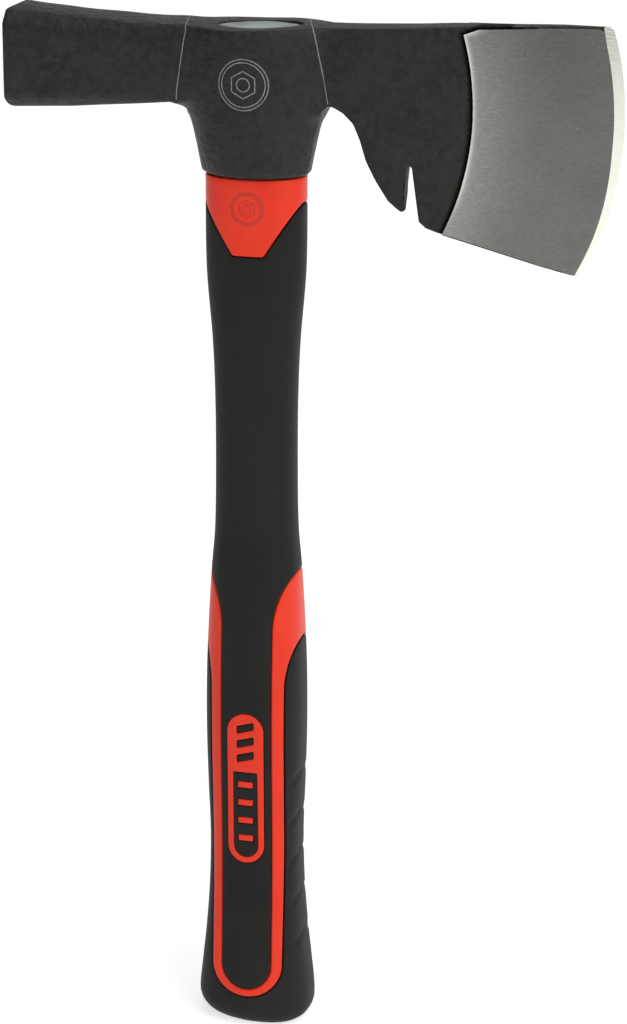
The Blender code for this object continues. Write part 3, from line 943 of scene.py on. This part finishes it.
def blade_half_depth(x, height):
    """The blade's cheek where it meets the socket. It stops above the throat."""
    depth = blade_thickness(x, height)
    under_socket = smooth_share(THROAT_CUSP[1] - 7.0, THROAT_CUSP[1] - 1.0, height)
    beyond_socket = smooth_share(21.0, 24.0, x)
    return np.where(x > 0.0, depth * np.maximum(under_socket, beyond_socket), 0.0)


def forged_lumps(x, height, side):
    """The low waves of a hammered and lacquered surface."""
    places = [Vector((a / 7.0, side * 3.7, b / 7.0)) for a, b in zip(x, height)]
    return np.array([turbulence(place, 2, False) for place in places])


def edge_radius(x, height, bare):
    """How far the head's edges are rounded over: most on the crown, hardly at all on bare steel."""
    crown = (1.0 - smooth_share(17.0, 25.0, np.abs(x))) * smooth_share(-10.0, -6.0, height)
    rim = 1.0 - smooth_share(SOCKET_LOW + 2.0, SOCKET_LOW + 3.0, height)
    rim = rim * (1.0 - smooth_share(20.0, 21.0, np.abs(x)))
    radius = FORGED_EDGE + CROWN_EDGE_EXTRA * crown + RIM_EDGE_EXTRA * rim
    beside_socket = (np.abs(x) < 23.0) & (height < -23.0) & (height > SOCKET_LOW + 2.5)
    beside_socket &= np.abs(x) > 0.6 * socket_half_width(height)
    return np.where(bare, BARE_EDGE, np.where(beside_socket, 0.0, radius))


def bare_metal(points):
    """Which places lie on, or close to, the bare steel of the blade."""
    x, height = points.T
    return x > ground_rear_x(height)


def forging_reach(points):
    """How far the finer points beside an outline go."""
    x, height = points.T
    radius = edge_radius(x, height, bare_metal(points))
    return np.where(radius == 0.0, 2.0, np.maximum(radius, 0.5))


def head_half_depth(x, height, side, distance=None):
    """Half the head's thickness on its front (side -1) or its back (side 1)."""
    points = np.column_stack([x, height])
    bare = bare_metal(points)
    depth = smooth_max(socket_depth(x, height), poll_half_depth(x, height), POLL_BLEND)
    depth = smooth_max(depth, blade_half_depth(x, height), BLADE_BLEND)
    depth = np.where(x > BLADE_ONLY_X, blade_thickness(x, height), depth)
    lumps = FORGING_ROUGHNESS * forged_lumps(x, height, side)
    depth = depth + np.where(bare, 0.0, lumps)
    step = distance_to(points, GROUND_SEGMENTS)
    near = np.exp(-(((step - 0.55 * PAINT_DIP_REACH) / (0.4 * PAINT_DIP_REACH)) ** 2))
    depth = depth - np.where(inside(points, [GROUND]) | (x > PAINT_DIP_END_X), 0.0, PAINT_DIP * near)
    if side > 0:
        depth = np.minimum(depth, claw_back(x, height))
    if distance is not None:
        near_rim = (np.abs(x) < 20.0) & (height < SOCKET_LOW + 3.0)
        distance = np.where(near_rim, height - SOCKET_LOW, distance)
        radius = np.clip(EDGE_SHARE * depth, 0.0, edge_radius(x, height, bare))
        depth = depth - edge_dip(distance, radius)
    return depth


def claw_back(x, height):
    """Half the thickness on the back of the claw, which is bevelled there up from its lower edge."""
    (tip_x, tip_h), (far_x, far_h) = CLAW_EDGE
    along = np.array([far_x - tip_x, far_h - tip_h])
    along /= np.linalg.norm(along)
    inward = (x - tip_x) * along[1] - (height - tip_h) * along[0]
    outside = smooth_share(CLAW_BEVEL_TOP, CLAW_BEVEL_TOP + CLAW_BEVEL_FADE, height)
    outside = outside + smooth_share(*CLAW_BESIDE_SLOT, x) + 1.0 - smooth_share(*CLAW_BESIDE_SOCKET, x)
    return CLAW_TIP_BACK + CLAW_BEVEL_SLOPE * np.maximum(inward, 0.0) + NO_LIMIT * outside


def half_depth_at(x, height, side):
    return float(head_half_depth(np.array([x]), np.array([height]), side)[0])


def head_point(x, height, proud):
    """A place on the head, standing proud of its front, or of its top once past the upper edge."""
    top = float(top_line(x))
    level = min(height, top - 1.3)
    radius = float(edge_radius(x, level, False))
    turn_h = top - radius
    depth = half_depth_at(x, min(height, turn_h), -1)
    past = height - turn_h
    if past <= 0.0:
        return (x, -depth - proud, CROWN + height)
    angle = min(past / radius, math.pi / 2)
    over = max(past - radius * math.pi / 2, 0.0)
    y = over - (depth - radius) - (radius + proud) * math.cos(angle)
    return (x, y, CROWN + turn_h + (radius + proud) * math.sin(angle))


def head_back_point(x, height, proud):
    """A place on the back of the head, standing proud of its surface."""
    return (x, half_depth_at(x, height, 1) + proud, CROWN + height)


def make_head(looks):
    """The forged head: one surface for each cheek, joined round its outline, with the eye cut out."""
    outline = head_outline()
    lines = [GROUND + GROUND[:1], bevel_line(), *SCRIBED_LINES]
    patch = fill([outline], FORGING_GRID, FORGING_STEP, forging_reach, lines)
    x, height = patch.points.T
    front = head_half_depth(x, height, -1, patch.distance)
    back = head_half_depth(x, height, 1, patch.distance)
    z = height + CROWN
    parts = [shell(patch, np.column_stack([x, -front, z]), np.column_stack([x, back, z]))]
    head = new_object("head_forging", parts, looks)
    cut(head, eye_cutter())
    mark_bare_steel(head)
    shade(head.data, HEAD_SMOOTH_ANGLE)
    return add_piece(head, "head_steel", "head")


def mark_bare_steel(head):
    """Gives each face its finish, and stores a band of painted shade on the paint beside the ground face,
    a painted highlight along its lip and a painted sheen on it near its rear arc.
    """
    mesh = head.data
    vertices = np.array([v.co for v in mesh.vertices]) / MM
    flat = vertices[:, [0, 2]] - (0.0, CROWN)
    step = distance_to(flat, GROUND_SEGMENTS)
    in_ground = inside(flat, [GROUND])
    on_blade = (flat[:, 0] < 84.0) & (flat[:, 1] < 2.5)
    # Painted shade: a band on the paint along the rear arc of the ground face
    painted_shade = np.where(in_ground, 0.0, np.exp(-((step / PAINT_DIP_REACH) ** 4))) * on_blade
    # Painted highlight: a bright line along the lip of the ground face
    lip = np.exp(-((step / LIP_HIGHLIGHT_WIDTH) ** 2)) * (in_ground | (step < 0.05))
    lip = lip * (1.0 - smooth_share(64.0, 71.0, flat[:, 0])) * smooth_share(-60.0, -40.0, flat[:, 1])
    # Painted sheen: the ground face grows lighter towards its rear arc
    from_centre = flat - (GROUND_CENTRE_X, GROUND_CENTRE_H)
    past_arc = np.hypot(*from_centre.T) - GROUND_RADIUS
    painted_sheen = np.clip(1.0 - past_arc / GROUND_SHEEN_REACH, 0.0, 1.0) ** 2 * in_ground
    store(mesh, "painted_shade_band", painted_shade)
    store(mesh, "painted_lip_highlight", lip)
    store(mesh, "painted_ground_sheen", painted_sheen)
    centres = np.array([face.center for face in mesh.polygons]) / MM
    normals = np.array([face.normal for face in mesh.polygons])
    middle = centres[:, [0, 2]] - (0.0, CROWN)
    setback = edge_x(middle[:, 1]) - middle[:, 0]
    honed = (setback < bevel_width(middle[:, 1])) & (middle[:, 0] > 80.0)
    flat_cheek = np.abs(normals[:, 1]) > 0.7
    ground = (inside(middle, [GROUND]) | ((middle[:, 0] > 93.0) & (middle[:, 1] < -40.0))) & flat_cheek
    side_wall = ~flat_cheek & (setback > 0.6)
    index = np.where(honed & ~side_wall, 2, np.where(ground, 1, 0))
    mesh.polygons.foreach_set("material_index", index.astype(np.int32))


def eye_ring(height, grow):
    """The eye's oval at a height above CROWN. Its middle drifts towards the blade."""
    share = np.clip((height - SOCKET_LOW) / -SOCKET_LOW, 0.0, 1.0)
    angles = np.linspace(0.0, 2.0 * math.pi, EYE_SIDES, endpoint=False)
    x = EYE_OFFSET_TOP * share + (EYE_HALF_WIDTH + grow) * np.cos(angles)
    y = (EYE_HALF_WIDTH * EYE_FLATNESS + grow) * np.sin(angles)
    return np.column_stack([x, y, np.full(EYE_SIDES, CROWN + height)])


def eye_cutter():
    """The eye through the socket, with a small flare at its upper rim."""
    levels = [(SOCKET_LOW - 3.0, 0.0), (CROWN_TOP - 1.0, 0.0), (CROWN_TOP - 0.5, 0.15 * EYE_FLARE)]
    levels += [(CROWN_TOP - 0.15, 0.5 * EYE_FLARE), (CROWN_TOP + 0.1, EYE_FLARE), (2.0, EYE_FLARE + 0.2)]
    return new_object("eye_cutter", [loft([eye_ring(h, grow) for h, grow in levels])])


def make_resin(look):
    """The resin that fills the eye round the core, with an uneven top that climbs at its edge."""
    low = RESIN_LOW.z - CROWN
    top = CROWN_TOP - RESIN_RECESS
    rings = [eye_ring(h, -0.06) for h in np.linspace(low, top - 1.0, 8)]
    rim = eye_ring(top, -0.06)
    centre = np.array([EYE_OFFSET_TOP, 0.0, CROWN + top])
    for share in (1.0, 0.97, 0.92, 0.84, 0.74, 0.62, 0.48, 0.34, 0.20, 0.08):
        ring = centre + (rim - centre) * (share, share, 1.0)
        lumps = np.array([noise(Vector((p[0] / 3.0, p[1] / 3.0, 0.4))) for p in ring])
        climb = RESIN_MENISCUS * max(0.0, (share - 0.8) / 0.2) ** 2
        ring[:, 2] += climb + 0.12 * lumps - RESIN_DIP * smooth_share(3.0, -11.0, ring[:, 0])
        rings.append(ring)
    resin = new_object("resin_fill", [loft(rings)], [look])
    cut(resin, core_bore(low + CROWN - 3.0, CORE_HIGH.z + GAP))
    x = np.array([v.co.x for v in resin.data.vertices]) / MM
    store(resin.data, "splatter", smooth_share(-6.0, -11.5, x))
    shade(resin.data, SMOOTH_ANGLE)
    return add_piece(resin, "resin", "eye_resin")


def core_bore(low, high):
    """An oval rod that leaves room for the core."""
    angles = np.linspace(0.0, 2.0 * math.pi, 48, endpoint=False)
    x, y = (CORE_HIGH.x + GAP) * np.cos(angles), (CORE_HIGH.y + GAP) * np.sin(angles)
    rings = [np.column_stack([x, y, np.full(48, z)]) for z in (low, high)]
    return new_object("core_bore", [loft(rings)])


# ---------------------------------------------------------------- handle

handle_half_width = smooth_curve(HANDLE_STATIONS, 1)
handle_half_depth = smooth_curve(HANDLE_STATIONS, 2)


def squareness_at(z):
    share = np.clip((z - GRIP_TO_NECK[0]) / (GRIP_TO_NECK[1] - GRIP_TO_NECK[0]), 0.0, 1.0)
    return GRIP_SQUARENESS + share * (NECK_SQUARENESS - GRIP_SQUARENESS)


def on_section(angle, z, inset):
    """x and y on the handle's front at an angle from its middle line, drawn in by an inset."""
    n = squareness_at(z)
    across, ahead = np.sin(angle), np.cos(angle)
    radius = (np.abs(across) ** n + np.abs(ahead) ** n) ** (-1.0 / n)
    x = (handle_half_width(z) - inset) * radius * across
    y = -(handle_half_depth(z) - inset) * radius * np.maximum(ahead, 0.0)
    return x, y


def laid_out(points, closed=True):
    """An outline in x and z, as a fine one on the flat layout of the handle's skin."""
    made = []
    for x, z in resampled(points, LAYOUT_STEP, closed):
        place = (math.copysign(layout_x(abs(x), z), x), z)
        if not made or math.dist(place, made[-1]) > 1e-4:
            made.append(place)
    return made


def layout_x(x, z):
    half_width = float(handle_half_width(z))
    if x >= half_width - 1e-6:
        return SEAM
    if x < 1e-9:
        return 0.0
    n = float(squareness_at(z))
    return SKIN_RADIUS * math.atan(((half_width / x) ** n - 1.0) ** (-1.0 / n))


def on_handle(flat, inset):
    """Places on the handle's front, from its flat layout. Below the grip it turns under the butt."""
    angle = np.clip(flat[:, 0] / SKIN_RADIUS, -math.pi / 2, math.pi / 2)
    along = flat[:, 1]
    side_rounding = np.where(angle < 0.0, BUTT_ROUNDING_POLL_SIDE, BUTT_ROUNDING_BLADE_SIDE)
    rounding = BUTT_ROUNDING + (side_rounding - BUTT_ROUNDING) * np.abs(np.sin(angle))
    turn_start = rounding * (1.0 - math.pi / 2)
    turn = np.clip((along - turn_start) / rounding, 0.0, math.pi / 2)
    inner_rounding = np.maximum(rounding - inset, 0.3)
    z = np.where(along >= rounding, along, inset + inner_rounding * (1.0 - np.cos(turn)))
    draw_in = np.where(along >= rounding, inset, inset + inner_rounding * (1.0 - np.sin(turn)))
    x, y = on_section(angle, z, draw_in)
    share = np.clip(1.0 - (turn_start - along) / (turn_start + CAP_REACH), 0.0, 1.0)
    share = np.where(along < turn_start, share, 1.0)
    return np.column_stack([x * share, y * share, z])


def at_seam(starts, ends):
    """Segments along the seams at the handle's sides or at the middle of the butt."""
    sides = (np.abs(starts[:, 0]) > SEAM - 1e-4) & (np.abs(ends[:, 0]) > SEAM - 1e-4)
    return sides | ((starts[:, 1] < -CAP_REACH + 1e-4) & (ends[:, 1] < -CAP_REACH + 1e-4))


def skin(outlines, radius, depth, relief=None, grid=SKIN_GRID, step=SKIN_STEP):
    """A front part of the handle's skin: its surface inside laid-out outlines, rounded at the edges."""
    patch = fill(outlines, grid, step, lambda points: np.full(len(points), radius), skip=at_seam)
    inset = edge_dip(patch.distance, radius)
    if relief is not None:
        inset = inset + relief(patch.points)
    inner = np.full(len(inset), depth)
    return shell(patch, on_handle(patch.points, inset), on_handle(patch.points, inner))


def badge_part(outlines, depth):
    """A front part of the badge, with finer edges."""
    outlines = [laid_out(outline) for outline in outlines]
    return skin(outlines, BADGE_EDGE, depth, grid=BADGE_GRID, step=BADGE_STEP)


def all_round(part):
    """A part and its other side as one surface, so that they are welded at the seams."""
    (front, front_faces), (back, back_faces) = part, other_side(part)
    count = len(front)
    return np.vstack([front, back]), front_faces + [tuple(k + count for k in face) for face in back_faces]


def mirrored(points):
    """The same outline on the other side of the handle's axis, in the opposite order."""
    return [(-point[0], *point[1:]) for point in reversed(points)]


def loop_edge(half_width, flare_z, radius, turn):
    """One edge of the loop: in from the side, down its length and round its lower turn."""
    centre_x = half_width + radius
    flare_angle = math.degrees(math.acos((centre_x - FLARE_REACH) / radius))
    right = arc((centre_x, flare_z), radius, 180 - flare_angle, 180, 16)
    lower = [(x * turn[0], LOOP_TURN_Z + z * turn[1]) for x, z in arc((0.0, 0.0), 1.0, 0, -180, 36)]
    return right + lower + mirrored(right)


def loop_inner_edge(clearance):
    """The loop's inner edge, drawn in by a clearance."""
    half_width = LOOP_INNER - clearance
    return loop_edge(half_width, LOOP_INNER_FLARE_Z, LOOP_INNER_FLARE_RADIUS, (half_width, half_width))


def loop_outer_edge(clearance):
    """The loop's outer edge, moved out by a clearance."""
    turn = (LOOP_OUTER_TURN[0] + clearance, LOOP_OUTER_TURN[1] + clearance)
    return loop_edge(LOOP_OUTER + clearance, LOOP_OUTER_FLARE_Z, LOOP_OUTER_FLARE_RADIUS, turn)


def collar_edge(clearance):
    """The collar's lower edge from right to left, with the tongue in its middle."""
    shoulder = (COLLAR_HALF_WIDTH + clearance, COLLAR_LOW - clearance, 1.2)
    tongue = (TONGUE_HALF_WIDTH + clearance, TONGUE_LOW - clearance, TONGUE_CORNER)
    right = [(BEYOND, COLLAR_LOW - clearance), shoulder, tongue]
    return right + mirrored(right)


def stadium(half_width, low, high):
    """An upright slot with round ends."""
    top = arc((0.0, high - half_width), half_width, 0, 180, 20)
    bottom = arc((0.0, low + half_width), half_width, 180, 360, 20)
    return top + bottom


def panel_outline(clearance):
    """The black panel: round at the bottom, square at the top."""
    half_width = BADGE_HALF_WIDTH - BADGE_RING - clearance
    low = BADGE_LOW + BADGE_RING + clearance
    top = PANEL_TOP - clearance
    corners = rounded([(half_width, top, 0.5), (-half_width, top, 0.5), (-half_width, low + half_width)])
    return corners + arc((0.0, low + half_width), half_width, 180, 360, 20)


def bar_outline(z, size, rise, clearance):
    """A flat bar, or one that rises from left to right."""
    half_width, half_height = size[0] + clearance, size[1] + clearance
    ends = ((-1, -1), (1, -1), (1, 1), (-1, 1))
    corners = [(x * half_width, z + x * rise / 2 + y * half_height, BAR_CORNER) for x, y in ends]
    return rounded(corners, 3)


def panel_bars(clearance):
    heights = [PANEL_BAR_FIRST_Z + k * PANEL_BAR_PITCH for k in range(PANEL_BARS)]
    return [bar_outline(z, PANEL_BAR_SIZE, 0.0, clearance) for z in heights]


def slant_bar_z(number):
    """The middle height of a slanted bar, from its CAD node."""
    low, high = box_mm(f"badge_bar_front_{number}")
    return (low.z + high.z) / 2


def slant_bars(clearance):
    numbers = range(1, SLANT_BARS + 1)
    return [bar_outline(slant_bar_z(k), SLANT_BAR_SIZE, SLANT_BAR_RISE, clearance) for k in numbers]


def jacket_bed():
    """The jacket's set-in body under the skin, solid up to the head."""
    sides, rings = 72, []
    angles = np.linspace(-math.pi / 2, math.pi / 2, sides // 2, endpoint=False)
    for along in [*np.linspace(-2.5, 6.0, 9), *np.linspace(9.0, HANDLE_TOP - 0.1, 56)]:
        flat = np.column_stack([angles * SKIN_RADIUS, np.full(len(angles), along)])
        front = on_handle(flat, np.full(len(angles), SKIN_DEPTH))
        flat[:, 0] = -flat[:, 0]
        back = on_handle(flat, np.full(len(angles), SKIN_DEPTH)) * (1.0, -1.0, 1.0)
        rings.append(np.vstack([front, back]))
    return loft(rings)


def make_jacket(look):
    """The red jacket: its body, and the collar, loops and badge rings that come up through the skin."""
    depth = SKIN_DEPTH + SKIN_OVERLAP
    collar = [(BEYOND, HANDLE_TOP), *collar_edge(0.0), (-BEYOND, HANDLE_TOP)]
    loop = loop_outer_edge(0.0) + list(reversed(loop_inner_edge(0.0)))
    raised = [skin([laid_out(outline)], RED_EDGE, depth) for outline in (rounded(collar), loop)]
    ring = [stadium(BADGE_HALF_WIDTH, BADGE_LOW, BADGE_HIGH), panel_outline(0.0), *slant_bars(GAP / 2)]
    badge = [badge_part(outlines, depth) for outlines in (ring, *([bar] for bar in panel_bars(0.0)))]
    parts = [jacket_bed()] + [all_round(part) for part in raised]
    parts += badge + [other_side(part) for part in badge]
    jacket = new_object("handle_jacket", parts, [look])
    cut(jacket, core_bore(CORE_LOW.z - GAP, HANDLE_TOP + 5.0))
    shade(jacket.data, SMOOTH_ANGLE)
    return add_piece(jacket, "red_plastic", "red_jacket")


def make_neck_grip(look):
    """The black sleeve from under the collar down inside both loops."""
    outline = rounded(loop_inner_edge(GAP) + list(reversed(collar_edge(GAP))))
    hole = stadium(BADGE_HALF_WIDTH + GAP / 2, BADGE_LOW - GAP / 2, BADGE_HIGH + GAP / 2)
    part = skin([laid_out(outline), laid_out(hole)], BLACK_EDGE, SKIN_DEPTH - GAP)
    made_piece("neck_grip", [all_round(part)], look, "grip_rubber", "neck_sleeve")


def finger_grooves(flat):
    """Depth of the slanted grooves at places on the skin's layout."""
    angle = flat[:, 0] / SKIN_RADIUS
    fade_start, fade_end, fade = GROOVE_FADE
    window = smooth_share(GROOVE_START_ANGLE, GROOVE_START_ANGLE + GROOVE_START_LENGTH, angle)
    window = window * (1.0 - fade * smooth_share(fade_start, fade_end, angle))
    depth = np.zeros(len(flat))
    for number in range(GROOVES):
        middle = GROOVE_FIRST_Z + number * GROOVE_PITCH + GROOVE_CLIMB * (angle - math.pi / 2)
        depth += np.exp(-(((flat[:, 1] - middle) / GROOVE_HALF_HEIGHT) ** 2))
    return GROOVE_DEPTH * window * depth


def make_butt_grip(look):
    """The black grip outside the loops, closed under the butt, with its finger grooves."""
    outline = laid_out(loop_outer_edge(GAP), closed=False) + [(-SEAM, -CAP_REACH), (SEAM, -CAP_REACH)]
    part = skin([outline], BLACK_EDGE, SKIN_DEPTH - GAP, finger_grooves)
    made_piece("butt_grip", [all_round(part)], look, "grip_rubber", "lower_grip")


def make_badge_inlays(look):
    """The black panels with their windows, and the slanted bars, on both faces."""
    outlines = [[panel_outline(GAP / 2), *panel_bars(GAP / 2)], *([bar] for bar in slant_bars(0.0))]
    front = [badge_part(outline, SKIN_DEPTH - GAP) for outline in outlines]
    back = [other_side(part) for part in front]
    for face, (panel, *bars) in (("front", front), ("back", back)):
        made_piece(f"panel_inlay_{face}", [panel], look, "grip_rubber", f"badge_panel_{face}")
        for number, bar in enumerate(bars, start=1):
            node = f"badge_bar_{face}_{number}"
            made_piece(f"slant_bar_{face}_{number}", [bar], look, "grip_rubber", node)


# ---------------------------------------------------------------- marks


def ribbon(path, width, place, closed=True):
    """A fine raised line along a path. place() puts a flat point on the surface, proud by a height."""
    points = np.array(resampled(path, MARK_STEP, closed))
    vertices, faces = [], []
    for point, side in zip(points, sideways(points, closed) * width / 2):
        left, right = point - side, point + side
        vertices += [place(*left, MARK_PROUD), place(*right, MARK_PROUD)]
        vertices += [place(*right, -MARK_SINK), place(*left, -MARK_SINK)]
    count = len(points)
    for k in range(count if closed else count - 1):
        here, there = 4 * k, 4 * ((k + 1) % count)
        for corner in range(4):
            after = (corner + 1) % 4
            faces.append((here + corner, here + after, there + after, there + corner))
    if not closed:
        last = 4 * (count - 1)
        faces += [(3, 2, 1, 0), (last, last + 1, last + 2, last + 3)]
    return np.array(vertices), faces


def emblem(centre, radii, width, place):
    """Rings round a hexagon with a round hole, like a nut."""
    lines = [arc(centre, radius, 0, 354, 59) for radius in radii]
    lines.append(arc(centre, EMBLEM_HEXAGON * radii[-1], 30, 330, 5))
    lines.append(arc(centre, EMBLEM_HOLE * radii[-1], 0, 345, 23))
    return [ribbon(line, width, place) for line in lines]


def over_the_top(start, lean):
    """A scribed line's way up over the front edge and back across the top of the head."""
    path = [start]
    while True:
        step = len(path) * MARK_STEP
        x, height = start[0] + lean * step, start[1] + step
        half_depth = half_depth_at(x, start[1], -1)
        if head_point(x, height, 0.0)[1] > half_depth - MARK_END_MARGIN:
            return path
        path.append((x, height))


def make_marks(etched, pressed):
    """The emblems on the head and the collar, and the scribed lines across the head."""
    head_centre = (0.0, HEAD_MARK_H)
    parts = emblem(head_centre, HEAD_MARK_RADII, HEAD_LINE_WIDTH, head_point)
    parts += emblem(head_centre, HEAD_MARK_RADII, HEAD_LINE_WIDTH, head_back_point)
    for (top, low), lean in zip(SCRIBED_LINES, SCRIBED_LINE_LEANS):
        path = [*reversed(over_the_top(top, lean)), low]
        parts.append(ribbon(path, SCRIBED_LINE_WIDTH, head_point, closed=False))
    made_piece("head_marks", parts, etched, "head_steel")

    def collar_point(x, z, proud):
        flat = np.array([[math.copysign(layout_x(abs(x), z), x), z]])
        return tuple(on_handle(flat, np.array([-proud]))[0])

    lines = emblem((0.0, COLLAR_MARK_Z), COLLAR_MARK_RADII, COLLAR_LINE_WIDTH, collar_point)
    made_piece("collar_marks", lines + [other_side(line) for line in lines], pressed, "red_plastic")


# ---------------------------------------------------------------- studio


def make_floor(look):
    """A wide sheet of pale paper, which curves up far behind the object."""
    profile = [(-4.0, 0.0), (0.0, 0.0), (4.0, 0.0)]
    bend = np.radians(np.linspace(10, 80, 8))
    profile += [(4.0 + 2.0 * math.sin(a), 2.0 - 2.0 * math.cos(a)) for a in bend]
    bm = bmesh.new()
    rows = [[bm.verts.new((x, y, z)) for x in (-6.0, 6.0)] for y, z in profile]
    for low, high in zip(rows, rows[1:]):
        bm.faces.new((low[0], low[1], high[1], high[0]))
    mesh = bpy.data.meshes.new("floor")
    bm.to_mesh(mesh)
    bm.free()
    mesh.materials.append(look)
    mesh.shade_smooth()
    placed("floor", mesh)


def add_light(name, kind, place, aim, **settings):
    """A light at a place, turned to its aim."""
    lamp = bpy.data.lights.new(name, kind)
    for setting, value in settings.items():
        setattr(lamp, setting, value)
    light = placed(name, lamp)
    light.location = place
    light.rotation_euler = (Vector(aim) - Vector(place)).to_track_quat("-Z", "Y").to_euler()


def make_light():
    """A surround that brightens towards the blade, a sun with very soft shadows, and two softboxes."""
    world = bpy.data.worlds.new("studio")
    world.use_nodes = True
    tree = world.node_tree
    direction = add_node(tree, "TexCoord", "Generated", {})
    across = add_node(tree, "SeparateXYZ", "X", {"Vector": direction})
    inputs = {"Value": across, "From Min": -1.0, "To Min": WORLD_LEFT, "To Max": WORLD_RIGHT}
    brightness = add_node(tree, "MapRange", "Result", inputs)
    white = (1.0, 1.0, 1.0, 1.0)
    set_inputs(tree, tree.nodes["Background"], {"Color": white, "Strength": brightness})
    bpy.context.scene.world = world
    middle = (0.0, 0.0, 0.20)
    softbox = {"kind": "AREA", "shape": "DISK"}
    add_light("sun", "SUN", (0.9, -1.0, 1.5), middle, angle=math.radians(50.0), energy=1.05)
    add_light("key", place=(0.8, -0.7, 0.85), aim=(0.0, 0.0, 0.30), size=0.7, energy=2.6, **softbox)
    add_light("top", place=(0.1, 0.1, 1.9), aim=middle, size=1.4, energy=7.0, **softbox)


def make_camera():
    """A long lens a little above the hatchet, turned a few degrees towards the blade."""
    lens = bpy.data.cameras.new("camera")
    lens.lens = CAMERA_LENS
    lens.sensor_width = CAMERA_SENSOR
    camera = placed("camera", lens)
    across, back = math.sin(CAMERA_AZIMUTH), math.cos(CAMERA_AZIMUTH)
    place = Vector((CAMERA_DISTANCE * across, -CAMERA_DISTANCE * back, CAMERA_HEIGHT))
    turn = Matrix.Rotation(CAMERA_YAW, 4, "Z")
    turn = turn @ Matrix.Rotation(math.pi / 2 - CAMERA_PITCH, 4, "X")
    camera.matrix_world = Matrix.Translation(place) @ turn @ Matrix.Rotation(CAMERA_ROLL, 4, "Z")
    bpy.context.scene.camera = camera
    bpy.context.scene.view_settings.view_transform = "Standard"


# ---------------------------------------------------------------- the whole scene

GROUND = ground_outline()
GROUND_SEGMENTS = segments_of([resampled(GROUND, 0.5)])


def finish_cad_node(node, look):
    """A better finish for a CAD node that keeps its shape."""
    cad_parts[node].material_slots[0].material = look


make_camera()
make_light()
make_floor(floor_paper())
make_head([lacquer(), ground_steel(), honed_steel()])
make_resin(cloudy_resin())
make_jacket(red_plastic())
rubber = grip_rubber()
make_neck_grip(rubber)
make_butt_grip(rubber)
make_badge_inlays(rubber)
make_marks(etched_line(), dark_red_mark())
finish_cad_node("fibreglass_core", fibreglass())
finish_cad_node("resin_dam", dam_foam())
